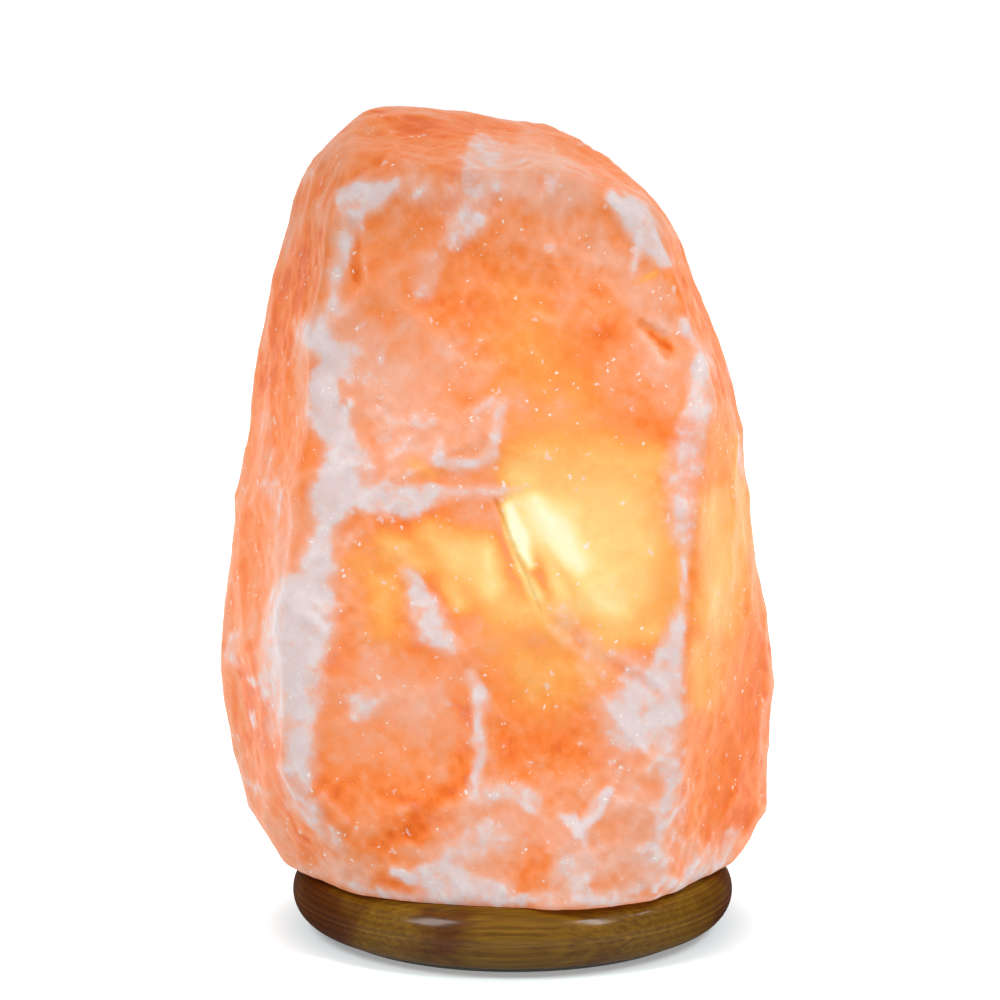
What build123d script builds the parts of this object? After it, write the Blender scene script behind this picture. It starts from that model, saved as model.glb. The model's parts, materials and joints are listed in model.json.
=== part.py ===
from build123d import *
import math
import os

# A salt crystal lamp: a rough block of rock salt, screwed to a round wooden base. A bore goes up into
# the salt from below. A small lamp holder with a bulb is pushed up the bore, and two spring wings
# hold it there. Everything is in millimetres. The origin is on the table, on the axis of the base and
# the bore. +Z is up, and the lamp's front faces -Y.

os.makedirs("parts", exist_ok=True)

# ---------------------------------------------------------------- driving dimensions
# Salt crystal
crystal_width = 144.0
crystal_depth = 114.0
crystal_height = 195.0
bore_radius = 21.0
bore_depth = 104.5
bore_end_rounding = 12.0

# Wooden base and the felt under it
base_diameter = 115.0
base_thickness = 16.0
cord_groove_width = 7.0
cord_groove_depth = 7.0
felt_thickness = 1.5
felt_inset = 1.5
felt_hole_inset = 0.5

# Screws from the base into the salt, and their plugs
base_screw_count = 3
base_screw_inset = 9.0
base_screw_diameter = 4.0
base_screw_length = 30.0
base_screw_head_diameter = 8.0
base_screw_head_height = 2.4
base_screw_sink = 1.0
base_screw_tip_length = 4.0
plug_diameter = 6.0
plug_length = 22.0
cross_slot_width = 0.9

# Lamp holder
holder_standoff = 9.0
holder_diameter = 24.0
holder_wall = 1.8
cap_height = 10.0
cap_floor = 6.0
cap_spigot_height = 3.3
cap_spigot_wall = 1.4
cord_bore_radius = 3.5
wiring_space = 8.0
web_thickness = 9.0
ledge_height = 2.0
ledge_width = 1.3
lip_thickness = 3.0
mouth_step = 0.7

# Small bulb thread: a round thread is a circle, carried off centre round its axis
thread_pitch = 2.822
thread_wave = 0.4
thread_mean_radius = 6.545
shell_length = 16.0
shell_wall = 0.35

# Contacts, terminals and small screws of the holder
contact_width = 4.0
contact_thickness = 0.4
contact_rise = 2.3
contact_root = 2.5
contact_droop = 0.6
contact_lift = 0.4
shell_contact_step = 0.9
rivet_radius = 0.8
rivet_head_radius = 1.6
rivet_head_height = 0.6
rivet_grip = 1.2
terminal_width = 5.0
terminal_inset = 1.8
terminal_height = 6.5
terminal_wire_radius = 1.2
terminal_wire_depth = 3.0
terminal_screw_radius = 1.1
terminal_screw_reach = 3.0
terminal_screw_drop = 2.4
terminal_screw_head_radius = 2.0
terminal_screw_head_height = 1.4
grip_screw_radius = 1.25
driver_slot_width = 0.6
driver_slot_depth = 0.5

# Spring clip
strap_end_room = 4.0
strap_width = 12.0
strap_thickness = 0.8
curl_wall = 0.6
curl_opening_angle = 60.0
wing_bow_height = 15.4
wing_top_rise = 13.0
wing_top_inset = 2.1
wing_bend_radius = 8.0
clip_screw_offset = 7.0
clip_screw_radius = 1.5
clip_screw_grip = 6.0
clip_screw_head_radius = 2.8
clip_screw_head_height = 1.6

# Bulb
bulb_length = 57.0
bulb_radius = 13.0
cement_thickness = 0.75
glass_wall = 0.7
tip_radius = 2.4
tip_height = 1.0
bulb_insulator_height = 2.3
bulb_insulator_inset = 0.45
cap_metal = 0.3
cap_plate = 0.4
cap_plate_rim = 1.2
collar_step = 0.1
bulb_thread_length = 14.0
collar_height = 5.0
stem_radius = 2.0
stem_length = 15.0
wire_radius = 0.25
wire_offset = 0.9
wire_spread = 5.2
wire_bend_radius = 1.5
filament_radius = 0.35
filament_level = 26.0
filament_arch = 2.0

# Clearances
screw_clearance = 0.25
slip_clearance = 0.1
strap_cord_room = 0.75
thread_clearance = 0.25
wing_clearance = 0.3
curl_clearance = 0.3
contact_gap = 0.2
contact_end_gap = 0.5
terminal_room = 0.6
turn_gap = 0.1
slot_clearance = 0.05

# ---------------------------------------------------------------- levels, from the table up
base_low = felt_thickness
seat = base_low + base_thickness

cap_low = holder_standoff
cap_high = cap_low + cap_height
web_low = cap_high + wiring_space
web_high = web_low + web_thickness
shell_low = web_high + ledge_height
shell_high = shell_low + shell_length
lip_low = shell_high + shell_wall
lip_high = lip_low + lip_thickness

strap_high = cap_low
strap_low = strap_high - strap_thickness
strap_middle = (strap_low + strap_high) / 2
wing_bow = strap_middle + wing_bow_height
wing_top = wing_bow + wing_top_rise
contact_root_level = web_high + contact_lift + contact_thickness / 2

tip_low = web_high + contact_rise
tip_high = tip_low + tip_height
bulb_insulator_low = tip_high + turn_gap
bulb_thread_low = bulb_insulator_low + bulb_insulator_height
bulb_thread_high = bulb_thread_low + bulb_thread_length
collar_high = bulb_thread_high + collar_height
neck_low = bulb_thread_high + cap_plate + slip_clearance
stem_high = neck_low + stem_length
filament_ends = neck_low + filament_level
bulb_high = tip_low + bulb_length

# ---------------------------------------------------------------- radii that follow
holder_radius = holder_diameter / 2
holder_inner_radius = holder_radius - holder_wall
insert_radius = holder_inner_radius - slip_clearance
shell_mean_radius = thread_mean_radius + thread_clearance
shell_outer_radius = shell_mean_radius + thread_wave + shell_wall
shell_pocket_radius = shell_outer_radius + slot_clearance
ledge_inner_radius = shell_pocket_radius - ledge_width
mouth_radius = shell_pocket_radius + mouth_step
shell_contact_offset = ledge_inner_radius - shell_contact_step
shell_contact_reach = shell_outer_radius
rivet_offset = ledge_inner_radius - rivet_head_radius - slip_clearance
contact_root = rivet_offset - rivet_head_radius - contact_end_gap
terminal_inner = rivet_offset - terminal_inset
terminal_outer = holder_inner_radius - terminal_room - terminal_screw_head_height
terminal_middle = (terminal_inner + terminal_outer) / 2

collar_radius = thread_mean_radius + thread_wave + collar_step
bulb_neck_radius = collar_radius - cap_metal - cement_thickness
bulb_insulator_top_radius = thread_mean_radius - thread_wave - bulb_insulator_inset
cap_plate_hole_radius = thread_mean_radius - thread_wave - cap_plate_rim

base_flat_radius = (base_diameter - base_thickness) / 2
base_screw_circle_radius = bore_radius + base_screw_inset
strap_half_length = bore_radius - strap_end_room

STANDING = (Align.CENTER, Align.CENTER, Align.MIN)
RUNS_ALONG_Y = Rot(-90, 0, 0)

# The corners of the rock, going up along each of its ridges. Each corner is (across, back, up): shares
# of half the crystal's width, half its depth and its whole height above the base. The outline comes
# from the front view, and the depths are a guess at a rock that is a little flatter than it is wide.
crystal_ridges = {
    "outline on the base": [
        (-0.86, 0.04, 0.0),
        (-0.83, -0.18, 0.0),
        (-0.76, -0.32, 0.0),
        (-0.57, -0.67, 0.0),
        (-0.31, -0.85, 0.0),
        (-0.01, -0.92, 0.0),
        (0.24, -0.94, 0.0),
        (0.49, -0.75, 0.0),
        (0.64, -0.49, 0.0),
        (0.77, -0.26, 0.0),
        (0.85, 0.05, 0.0),
        (0.69, 0.56, 0.0),
        (0.31, 0.89, 0.0),
        (-0.36, 0.88, 0.0),
        (-0.74, 0.53, 0.0),
    ],
    "left edge": [
        (-1.02, 0.11, 0.12),
        (-1.06, 0.14, 0.177),
        (-1.07, 0.14, 0.29),
        (-1.02, 0.14, 0.44),
        (-0.93, 0.14, 0.655),
        (-0.84, 0.14, 0.815),
        (-0.78, 0.11, 0.885),
        (-0.72, 0.14, 0.935),
    ],
    "front left ridge": [
        (-0.79, -0.79, 0.165),
        (-0.78, -0.83, 0.33),
        (-0.70, -0.85, 0.485),
        (-0.68, -0.79, 0.69),
        (-0.63, -0.65, 0.875),
        (-0.56, -0.49, 0.95),
    ],
    "front right ridge": [
        (0.57, -0.89, 0.155),
        (0.60, -0.95, 0.34),
        (0.62, -0.88, 0.515),
        (0.68, -0.74, 0.66),
        (0.47, -0.65, 0.865),
        (0.22, -0.60, 0.925),
    ],
    "right edge": [
        (0.94, 0.05, 0.10),
        (0.96, 0.11, 0.177),
        (0.94, 0.11, 0.30),
        (0.87, 0.07, 0.46),
        (0.77, 0.04, 0.67),
        (0.53, 0.09, 0.87),
    ],
    "back right ridge": [
        (0.69, 0.74, 0.145),
        (0.67, 0.81, 0.38),
        (0.56, 0.77, 0.67),
        (0.39, 0.70, 0.855),
    ],
    "middle of the back": [
        (-0.06, 1.0, 0.22),
        (0.03, 0.96, 0.63),
    ],
    "back left ridge": [
        (-0.78, 0.74, 0.165),
        (-0.81, 0.77, 0.34),
        (-0.75, 0.81, 0.525),
        (-0.61, 0.67, 0.865),
    ],
    "rim of the top": [
        (-0.51, 0.21, 1.0),
        (-0.40, 0.39, 0.992),
        (-0.06, 0.60, 0.974),
        (0.12, 0.56, 0.967),
        (0.36, 0.21, 0.93),
        (0.44, 0.11, 0.91),
        (-0.17, -0.63, 0.935),
    ],
}


# ---------------------------------------------------------------- small helpers
def rod(radius, low, high, x=0.0, y=0.0):
    """A round bar that stands on the level low and ends at the level high."""
    return Pos(x, y, low) * Cylinder(radius, high - low, align=STANDING)


def tube(outer, inner, low, high):
    """A round tube about the lamp's axis, between two levels."""
    return rod(outer, low, high) - rod(inner, low, high)


def block(x_range, y_range, z_range):
    """A square-edged block between its lowest and highest x, y and z."""
    size = [high - low for low, high in (x_range, y_range, z_range)]
    return Pos(x_range[0], y_range[0], z_range[0]) * Box(*size, align=(Align.MIN, Align.MIN, Align.MIN))


def turned(*edges):
    """The solid that a closed outline of radius and level sweeps when it turns about the lamp's axis."""
    return revolve(Plane.XZ * make_face(Curve() + list(edges)), axis=Axis.Z)


def cone(low_radius, high_radius, low, high):
    """A round taper between two levels."""
    return Pos(0, 0, low) * Cone(low_radius, high_radius, high - low, align=STANDING)


def thread_rod(mean_radius, low, high):
    """A round-threaded bar: a flat circle carried along a thin helix without turning. Two such bars
    that share the axis and the pitch have their crests at the same places."""
    turns = low / thread_pitch * 360
    path = Pos(0, 0, low) * Rot(0, 0, turns) * Helix(thread_pitch, high - low, thread_wave)
    start = path @ 0
    return sweep(Pos(start.X, start.Y, start.Z) * Circle(mean_radius), path=path, normal=(0, 0, 1))


def strip(path, width, thickness):
    """A flat metal strip bent along a path that lies in an upright plane."""
    across = (path % 0).cross(Vector(0, 0, 1)).normalized()
    start = Plane(origin=path @ 0, x_dir=across, z_dir=path % 0)
    return sweep(start * Rectangle(width, thickness), path=path)


def wire(points, radius, bend_radius):
    """A round wire along straight runs that are joined by arcs."""
    path = FilletPolyline(*points, radius=bend_radius)
    start = Plane(origin=path @ 0, z_dir=path % 0)
    return sweep(start * Circle(radius), path=path)


def around(piece, count, radius, first_angle):
    """Copies of a piece, evenly round the lamp's axis."""
    step = 360 / count
    return [Rot(0, 0, first_angle + step * i) * Pos(radius, 0, 0) * piece for i in range(count)]


def cross_slot(low, depth, reach):
    """The cutter for a cross recess in the underside of a screw head."""
    arm = (-reach, reach)
    half = cross_slot_width / 2
    level = (low, low + depth)
    return block(arm, (-half, half), level) + block((-half, half), arm, level)


def save(name, *pieces):
    """Writes one sub-part: a single solid, or a group of separate ones."""
    solids = [solid for piece in pieces for solid in piece.solids()]
    export_step(solids[0] if len(solids) == 1 else Compound(children=solids), f"parts/{name}.step")


# ---------------------------------------------------------------- salt and wood
base_screw_low = base_low + base_screw_sink
base_screw_high = base_screw_low + base_screw_length
base_screw_angle = -90.0
groove_angle = 90.0


def salt_crystal():
    """The rock, flat where it sits, with the bore for the lamp and the holes for the plugs."""
    corners = [
        (across * crystal_width / 2, back * crystal_depth / 2, seat + up * crystal_height)
        for ridge in crystal_ridges.values()
        for across, back, up in ridge
    ]
    rock = ConvexPolyhedron(corners).clean()
    bore = rod(bore_radius, seat, seat + bore_depth)
    bore = fillet(bore.edges().sort_by(Axis.Z)[-1], bore_end_rounding)
    plug_holes = around(rod(plug_diameter / 2, seat, seat + plug_length), base_screw_count,
                        base_screw_circle_radius, base_screw_angle)
    return rock - bore - plug_holes


def cord_groove():
    """The cutter for the groove that leads the cord from the hole to the back of the base."""
    half = cord_groove_width / 2
    groove = block((0, base_diameter), (-half, half), (0, base_low + cord_groove_depth))
    return Rot(0, 0, groove_angle) * groove


def wooden_base():
    """A turned disc with a full-round edge, a hole for the lamp, a cord groove and screw holes."""
    rim = (base_diameter / 2, (base_low + seat) / 2)
    disc = turned(
        Line((0, base_low), (base_flat_radius, base_low)),
        ThreePointArc((base_flat_radius, base_low), rim, (base_flat_radius, seat)),
        Line((base_flat_radius, seat), (0, seat)),
        Line((0, seat), (0, base_low)),
    )
    head_radius = base_screw_head_diameter / 2 + screw_clearance
    hole_radius = base_screw_diameter / 2 + screw_clearance
    screw_hole = (
        rod(hole_radius, base_low, seat)
        + rod(head_radius, base_low, base_screw_low)
        + cone(head_radius, hole_radius, base_screw_low, base_screw_low + base_screw_head_height)
    )
    return (
        disc
        - rod(bore_radius, base_low, seat)
        - cord_groove()
        - around(screw_hole, base_screw_count, base_screw_circle_radius, base_screw_angle)
    )


def base_felt():
    """The felt ring that the lamp stands on. It leaves the cord groove and the screw heads open."""
    ring = tube(base_flat_radius - felt_inset, bore_radius + felt_inset, 0, felt_thickness)
    screw_way = rod(base_screw_head_diameter / 2 + felt_hole_inset, 0, felt_thickness)
    screw_ways = around(screw_way, base_screw_count, base_screw_circle_radius, base_screw_angle)
    return ring - cord_groove() - screw_ways


def base_screws():
    """Countersunk wood screws with a cross recess and a pointed tip."""
    radius = base_screw_diameter / 2
    neck = base_screw_low + base_screw_head_height
    tip = base_screw_high - base_screw_tip_length
    screw = (
        cone(base_screw_head_diameter / 2, radius, base_screw_low, neck)
        + rod(radius, neck, tip)
        + cone(radius, radius / 4, tip, base_screw_high)
        - cross_slot(base_screw_low, base_screw_head_height / 2, radius)
    )
    return around(screw, base_screw_count, base_screw_circle_radius, base_screw_angle)


def screw_plugs():
    """Plastic plugs in the salt, each with a blind hole that the screw fills."""
    plug = rod(plug_diameter / 2, seat, seat + plug_length)
    plug -= rod(base_screw_diameter / 2, seat, base_screw_high)
    return around(plug, base_screw_count, base_screw_circle_radius, base_screw_angle)


# ---------------------------------------------------------------- lamp holder
grip_screw_level = cap_low + cap_floor / 2
terminal_screw_level = web_low - terminal_screw_drop
clip_screw_high = web_low + clip_screw_grip


def pair(piece):
    """The piece on the lamp's right and its twin on the left."""
    return [piece, Rot(0, 0, 180) * piece]


def holder_rear_cap():
    """The cap that closes the holder from below. The cord comes in through its middle."""
    cap = rod(holder_radius, cap_low, cap_high) - rod(holder_inner_radius, cap_low + cap_floor, cap_high)
    spigot_inner = insert_radius - cap_spigot_wall
    spigot = tube(insert_radius, spigot_inner, cap_low + cap_floor, cap_high + cap_spigot_height)
    screw_hole = rod(clip_screw_radius + slip_clearance, cap_low, cap_low + cap_floor, clip_screw_offset)
    grip_hole = Pos(0, 0, grip_screw_level) * RUNS_ALONG_Y * rod(grip_screw_radius, 0, holder_radius)
    cord_bore = rod(cord_bore_radius, cap_low, cap_low + cap_floor)
    return cap + spigot - cord_bore - pair(screw_hole) - grip_hole


def cord_grip_screw():
    """A grub screw that presses on the cord, with a driver slot in its outer end."""
    inner = cord_bore_radius + slip_clearance
    outer = holder_radius - slip_clearance
    half = driver_slot_width / 2
    reach = grip_screw_radius
    slot = block((-half, half), (-reach, reach), (outer - driver_slot_depth, outer))
    return Pos(0, 0, grip_screw_level) * RUNS_ALONG_Y * (rod(grip_screw_radius, inner, outer) - slot)


def holder_body():
    """The moulded sleeve. Its lip holds the insert down, and the bulb goes in through its mouth."""
    return tube(holder_radius, holder_inner_radius, cap_high, lip_low) + tube(
        holder_radius, mouth_radius, lip_low, lip_high)


def shell_contact_leg(spare):
    """The upright leg of the shell's contact, or the slot for it when some room is to spare."""
    half = contact_width / 2 + spare
    near = shell_contact_offset - contact_thickness / 2 - spare
    far = shell_contact_offset + contact_thickness / 2 + spare
    return block((-half, half), (near, far), (web_low, shell_low))


def shell_contact_tab(spare):
    """The flat tab of the shell's contact, under the shell's rim, or the pocket for it."""
    half = contact_width / 2 + spare
    near = shell_contact_offset - contact_thickness / 2
    far = shell_contact_reach + spare
    return block((-half, half), (near, far), (shell_low - contact_thickness, shell_low))


def holder_insulator():
    """The insert: a thick web under a pocket for the threaded shell, with a way through the web for
    each contact and tapped holes for the two long screws."""
    insert = rod(insert_radius, web_low, lip_low)
    insert -= rod(ledge_inner_radius, web_high, shell_low)
    insert -= rod(shell_pocket_radius, shell_low, lip_low)
    insert -= shell_contact_leg(slot_clearance)
    insert -= shell_contact_tab(slot_clearance)
    insert -= rod(rivet_radius, web_low, web_high, y=-rivet_offset)
    return insert - pair(rod(clip_screw_radius, web_low, clip_screw_high, clip_screw_offset))


def threaded_shell():
    """Thin brass, rolled to a round thread."""
    outside = thread_rod(shell_mean_radius + shell_wall, shell_low, shell_high)
    return outside - thread_rod(shell_mean_radius, shell_low, shell_high)


def shell_contact():
    """An angle of brass strip from the terminal up to the rim of the shell."""
    return shell_contact_leg(0) + shell_contact_tab(0)


def contact_path():
    """The tongue's middle line: from its root up to the bulb's tip, then down a little."""
    crest = tip_low - contact_gap - contact_thickness / 2
    return Polyline(
        (0, -contact_root, contact_root_level),
        (0, 0, crest),
        (0, contact_root, crest - contact_droop),
    )


def centre_contact():
    """The sprung tongue that presses on the bulb's tip."""
    path = contact_path()
    start = Plane(origin=path @ 0, x_dir=(1, 0, 0), z_dir=path % 0)
    section = start * Rectangle(contact_width, contact_thickness)
    return sweep(section, path=path, transition=Transition.RIGHT)


def contact_rivet():
    """The rivet that joins the tongue to the terminal below the web."""
    shaft = rod(rivet_radius, web_low - rivet_grip, web_high, y=-rivet_offset)
    return shaft + rod(rivet_head_radius, web_high, web_high + rivet_head_height, y=-rivet_offset)


def terminal_block():
    """A brass block with a hole for the wire and a tapped hole for its screw, on the +Y side."""
    half = terminal_width / 2
    body = block((-half, half), (terminal_inner, terminal_outer), (web_low - terminal_height, web_low))
    wire_high = web_low - terminal_height + terminal_wire_depth
    body -= rod(terminal_wire_radius, web_low - terminal_height, wire_high, y=terminal_middle)
    return body - terminal_screw_shaft()


def terminal_screw_shaft():
    """The threaded length of a terminal screw, on the +Y side."""
    shaft = rod(terminal_screw_radius, terminal_outer - terminal_screw_reach, terminal_outer)
    return Pos(0, 0, terminal_screw_level) * RUNS_ALONG_Y * shaft


def terminal_blocks():
    """The two blocks. The one under the rivet has a hole for it."""
    shell_side, tip_side = pair(terminal_block())
    return [shell_side, tip_side - contact_rivet()]


def terminal_screws():
    """Two slotted screws that point inwards."""
    top = terminal_outer + terminal_screw_head_height
    half = driver_slot_width / 2
    reach = terminal_screw_head_radius
    slot = block((-half, half), (-reach, reach), (top - driver_slot_depth, top))
    head = rod(reach, terminal_outer, top) - slot
    return pair(terminal_screw_shaft() + Pos(0, 0, terminal_screw_level) * RUNS_ALONG_Y * head)


# ---------------------------------------------------------------- spring clip
nose_radius = strap_thickness / 2
curl_inner_radius = nose_radius + curl_clearance
curl_outer_radius = curl_inner_radius + curl_wall


def clip_strap():
    """The strap under the rear cap. Each end is a round nose, which a wing curls about."""
    half_width = strap_width / 2
    flat = block((-strap_half_length, strap_half_length), (-half_width, half_width), (strap_low, strap_high))
    nose = Pos(strap_half_length, -half_width, strap_middle) * RUNS_ALONG_Y * rod(nose_radius, 0, strap_width)
    screw_holes = pair(rod(clip_screw_radius + slip_clearance, strap_low, strap_high, clip_screw_offset))
    cord_hole = rod(cord_bore_radius + strap_cord_room, strap_low, strap_high)
    return flat + pair(nose) - cord_hole - screw_holes


def clip_screws():
    """Two long screws from the strap up into the insert, with a cross recess in each head."""
    head_low = strap_low - clip_screw_head_height
    screw = rod(clip_screw_head_radius, head_low, strap_low)
    screw += rod(clip_screw_radius, strap_low, clip_screw_high)
    screw -= cross_slot(head_low, clip_screw_head_height / 2, clip_screw_radius)
    return pair(Pos(clip_screw_offset, 0, 0) * screw)


def clip_wing():
    """The right wing: a curl about the strap's nose, and a leaf that bows out to the wall of the bore
    and comes in again at its top."""
    half_width = strap_width / 2
    widest = math.sqrt((bore_radius - wing_clearance) ** 2 - half_width**2)
    bow = widest - strap_thickness / 2
    root = strap_half_length + curl_inner_radius + strap_thickness / 2
    path = FilletPolyline(
        (root, 0, strap_middle),
        (bow, 0, wing_bow),
        (bow - wing_top_inset, 0, wing_top),
        radius=wing_bend_radius,
    )
    ring = rod(curl_outer_radius, 0, strap_width) - rod(curl_inner_radius, 0, strap_width)
    curl = Pos(strap_half_length, -half_width, strap_middle) * RUNS_ALONG_Y * ring
    reach = 2 * curl_outer_radius
    rise = reach * math.tan(math.radians(curl_opening_angle))
    wedge = make_face(Polyline((0, 0), (-reach, rise), (-reach, -rise), close=True))
    opening = Pos(strap_half_length, half_width, strap_middle) * extrude(Plane.XZ * wedge, strap_width)
    return strip(path, strap_width, strap_thickness) + (curl - opening)


# ---------------------------------------------------------------- bulb
def bulb_tip_contact():
    """The solder tip: a low dome that touches the holder's tongue."""
    dome_radius = (tip_radius**2 + tip_height**2) / (2 * tip_height)
    ball = Pos(0, 0, tip_low + dome_radius) * Sphere(dome_radius)
    return ball & rod(tip_radius, tip_low, tip_high)


def bulb_insulator():
    """The dark glass ring that keeps the tip away from the cap."""
    ring = cone(tip_radius, bulb_insulator_top_radius, bulb_insulator_low, bulb_thread_low)
    return ring - lead_wires()


def bulb_cap():
    """The thin threaded cap: a plate at its foot, the round thread, and a plain collar."""
    outside = thread_rod(thread_mean_radius, bulb_thread_low, bulb_thread_high)
    hollow = thread_rod(thread_mean_radius - cap_metal, bulb_thread_low + cap_plate, bulb_thread_high)
    collar_inner = collar_radius - cap_metal
    shoulder_inner = thread_mean_radius - thread_wave - cap_metal - collar_step
    shoulder = tube(collar_radius, shoulder_inner, bulb_thread_high, bulb_thread_high + cap_plate)
    collar = tube(collar_radius, collar_inner, bulb_thread_high + cap_plate, collar_high)
    plate_hole = rod(cap_plate_hole_radius, bulb_thread_low, bulb_thread_high)
    return outside - hollow - plate_hole + shoulder + collar


def bulb_cement():
    """The cement between the collar and the neck of the glass."""
    return tube(collar_radius - cap_metal, bulb_neck_radius, neck_low, collar_high)


def bulb_outline(inset):
    """Half the outline of the envelope, moved inwards by the inset."""
    neck = bulb_neck_radius - inset
    belly = bulb_radius - inset
    belly_level = bulb_high - bulb_radius
    diagonal = belly * math.sqrt(0.5)
    return [
        Line((0, neck_low), (neck, neck_low)),
        Line((neck, neck_low), (neck, collar_high)),
        Spline((neck, collar_high), (belly, belly_level), tangents=[(0, 1), (0, 1)]),
        ThreePointArc((belly, belly_level), (diagonal, belly_level + diagonal), (0, belly_level + belly)),
        Line((0, belly_level + belly), (0, neck_low)),
    ]


def bulb_glass():
    """The hollow envelope, open at its neck."""
    return turned(*bulb_outline(0)) - turned(*bulb_outline(glass_wall))


def lead_wires():
    """Two wires, from inside the cap up through the stem to the ends of the filament. One starts on the
    tip, and the other in the cap."""
    starts = {-1: bulb_insulator_low, 1: bulb_thread_low + cap_plate}
    return [
        wire(
            [
                (side * wire_offset, 0, low),
                (side * wire_offset, 0, stem_high - wire_bend_radius),
                (side * wire_spread, 0, filament_ends),
            ],
            wire_radius,
            wire_bend_radius,
        )
        for side, low in starts.items()
    ]


def bulb_stem():
    """The glass stem. Its flare closes the neck, and the lead wires run up inside it."""
    flare = rod(bulb_neck_radius - glass_wall, neck_low, neck_low + glass_wall)
    return flare + rod(stem_radius, neck_low, stem_high) - lead_wires()


def filament_path():
    """A low arch between the tops of the lead wires."""
    top = filament_ends + filament_arch
    return ThreePointArc((-wire_spread, 0, filament_ends), (0, 0, top), (wire_spread, 0, filament_ends))


def bulb_filament():
    """The coiled filament, as the fine rod that its turns fill."""
    path = filament_path()
    rod_section = Plane(origin=path @ 0, z_dir=path % 0) * Circle(filament_radius)
    return sweep(rod_section, path=path) - lead_wires()


def bulb_supports():
    """The wire that carries the middle of the filament."""
    return rod(wire_radius, stem_high, filament_ends + filament_arch - filament_radius)


# ---------------------------------------------------------------- write every sub-part
save("salt_crystal", salt_crystal())
save("wooden_base", wooden_base())
save("base_felt", base_felt())
save("base_screws", *base_screws())
save("screw_plugs", *screw_plugs())

save("holder_rear_cap", holder_rear_cap())
save("cord_grip_screw", cord_grip_screw())
save("holder_body", holder_body())
save("holder_insulator", holder_insulator())
save("threaded_shell", threaded_shell())
save("shell_contact", shell_contact())
save("centre_contact", centre_contact())
save("contact_rivet", contact_rivet())
save("terminal_blocks", *terminal_blocks())
save("terminal_screws", *terminal_screws())

save("clip_strap", clip_strap())
save("clip_screws", *clip_screws())
save("clip_wing_right", clip_wing())
save("clip_wing_left", Rot(0, 0, 180) * clip_wing())

save("bulb_tip_contact", bulb_tip_contact())
save("bulb_insulator", bulb_insulator())
save("bulb_cap", bulb_cap())
save("bulb_cement", bulb_cement())
save("bulb_glass", bulb_glass())
save("bulb_stem", bulb_stem())
save("bulb_lead_wires", *lead_wires())
save("bulb_supports", bulb_supports())
save("bulb_filament", bulb_filament())

print(f"Seat at {seat:.1f}, bulb from {tip_low:.1f} to {bulb_high:.1f}, bore end at {seat + bore_depth:.1f}")
print(f"Wings hinge about ({strap_half_length:.1f}, 0, {strap_middle:.1f})")
print(f"The tongue hinges about (0, {-contact_root:.1f}, {contact_root_level:.1f})")
print(f"Cord entry at level {cap_low:.1f}, {cap_floor:.1f} long, radius {cord_bore_radius:.1f}")
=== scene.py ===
# %% [markdown]
# # A salt crystal lamp
# A rough block of pink rock salt stands on a turned wooden base. A bore goes up into the salt from
# below, and a small bulb glows inside it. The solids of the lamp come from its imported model, in
# metres. This lesson gives the rock its broken skin and its veins, and every other piece its finish.

# %% Load the lamp's solids
import json
import math

import bpy
import numpy as np
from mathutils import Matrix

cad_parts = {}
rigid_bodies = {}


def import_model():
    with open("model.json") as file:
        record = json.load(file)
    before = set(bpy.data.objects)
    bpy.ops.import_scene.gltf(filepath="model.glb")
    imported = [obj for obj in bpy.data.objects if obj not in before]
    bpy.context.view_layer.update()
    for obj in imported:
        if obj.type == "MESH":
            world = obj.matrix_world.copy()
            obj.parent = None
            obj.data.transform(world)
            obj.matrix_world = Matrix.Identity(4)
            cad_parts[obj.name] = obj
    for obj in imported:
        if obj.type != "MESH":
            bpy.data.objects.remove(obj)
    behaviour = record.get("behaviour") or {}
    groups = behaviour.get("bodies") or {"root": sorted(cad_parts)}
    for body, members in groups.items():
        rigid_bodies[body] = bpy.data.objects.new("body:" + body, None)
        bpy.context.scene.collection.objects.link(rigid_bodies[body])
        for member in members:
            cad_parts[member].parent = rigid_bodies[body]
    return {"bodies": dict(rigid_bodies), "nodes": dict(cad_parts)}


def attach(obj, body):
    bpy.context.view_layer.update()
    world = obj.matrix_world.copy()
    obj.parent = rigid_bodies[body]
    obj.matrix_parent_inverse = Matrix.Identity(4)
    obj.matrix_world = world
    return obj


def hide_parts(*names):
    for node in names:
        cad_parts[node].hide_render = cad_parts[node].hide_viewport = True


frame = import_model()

MM = 0.001
UP = np.array([0.0, 0.0, 1.0])
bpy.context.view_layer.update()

# %% [markdown]
# ## The eye
# The lamp is seen from a little above its middle, from about 0.9 m away, so that upright edges stay
# almost parallel. The camera is fixed first, because the veins of the rock are placed as they are
# seen from there. A long lens gives the same narrow view as the real picture.

# %% Camera
EYE = np.array([-3.3, -917.2, 257.0]) * MM
LOOK_DOWN = math.radians(9.0)
FOCAL_LENGTH = 129.6
SENSOR_WIDTH = 36.0

view_forward = np.array([0.0, math.cos(LOOK_DOWN), -math.sin(LOOK_DOWN)])
view_right = np.array([1.0, 0.0, 0.0])
view_up = np.cross(view_right, view_forward)

camera_data = bpy.data.cameras.new("camera")
camera_data.lens = FOCAL_LENGTH
camera_data.sensor_width = SENSOR_WIDTH
camera = bpy.data.objects.new("camera", camera_data)
camera.location = EYE
camera.rotation_euler = (math.radians(90.0) - LOOK_DOWN, 0.0, 0.0)
bpy.context.scene.collection.objects.link(camera)
bpy.context.scene.camera = camera
print("field of view", round(math.degrees(camera_data.angle), 2), "degrees")

# %% [markdown]
# ## Random shapes that stay the same
# Rock needs randomness at every scale. Blender's own noise would do, but it can only be read one
# point at a time, so a few small numpy functions give whole arrays at once. They all start from a
# hash of whole numbers, which gives the same rock on every run.

# %% Noise and broken faces
FACE_STEP = 0.3
FACE_HOLLOW = 0.9


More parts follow.
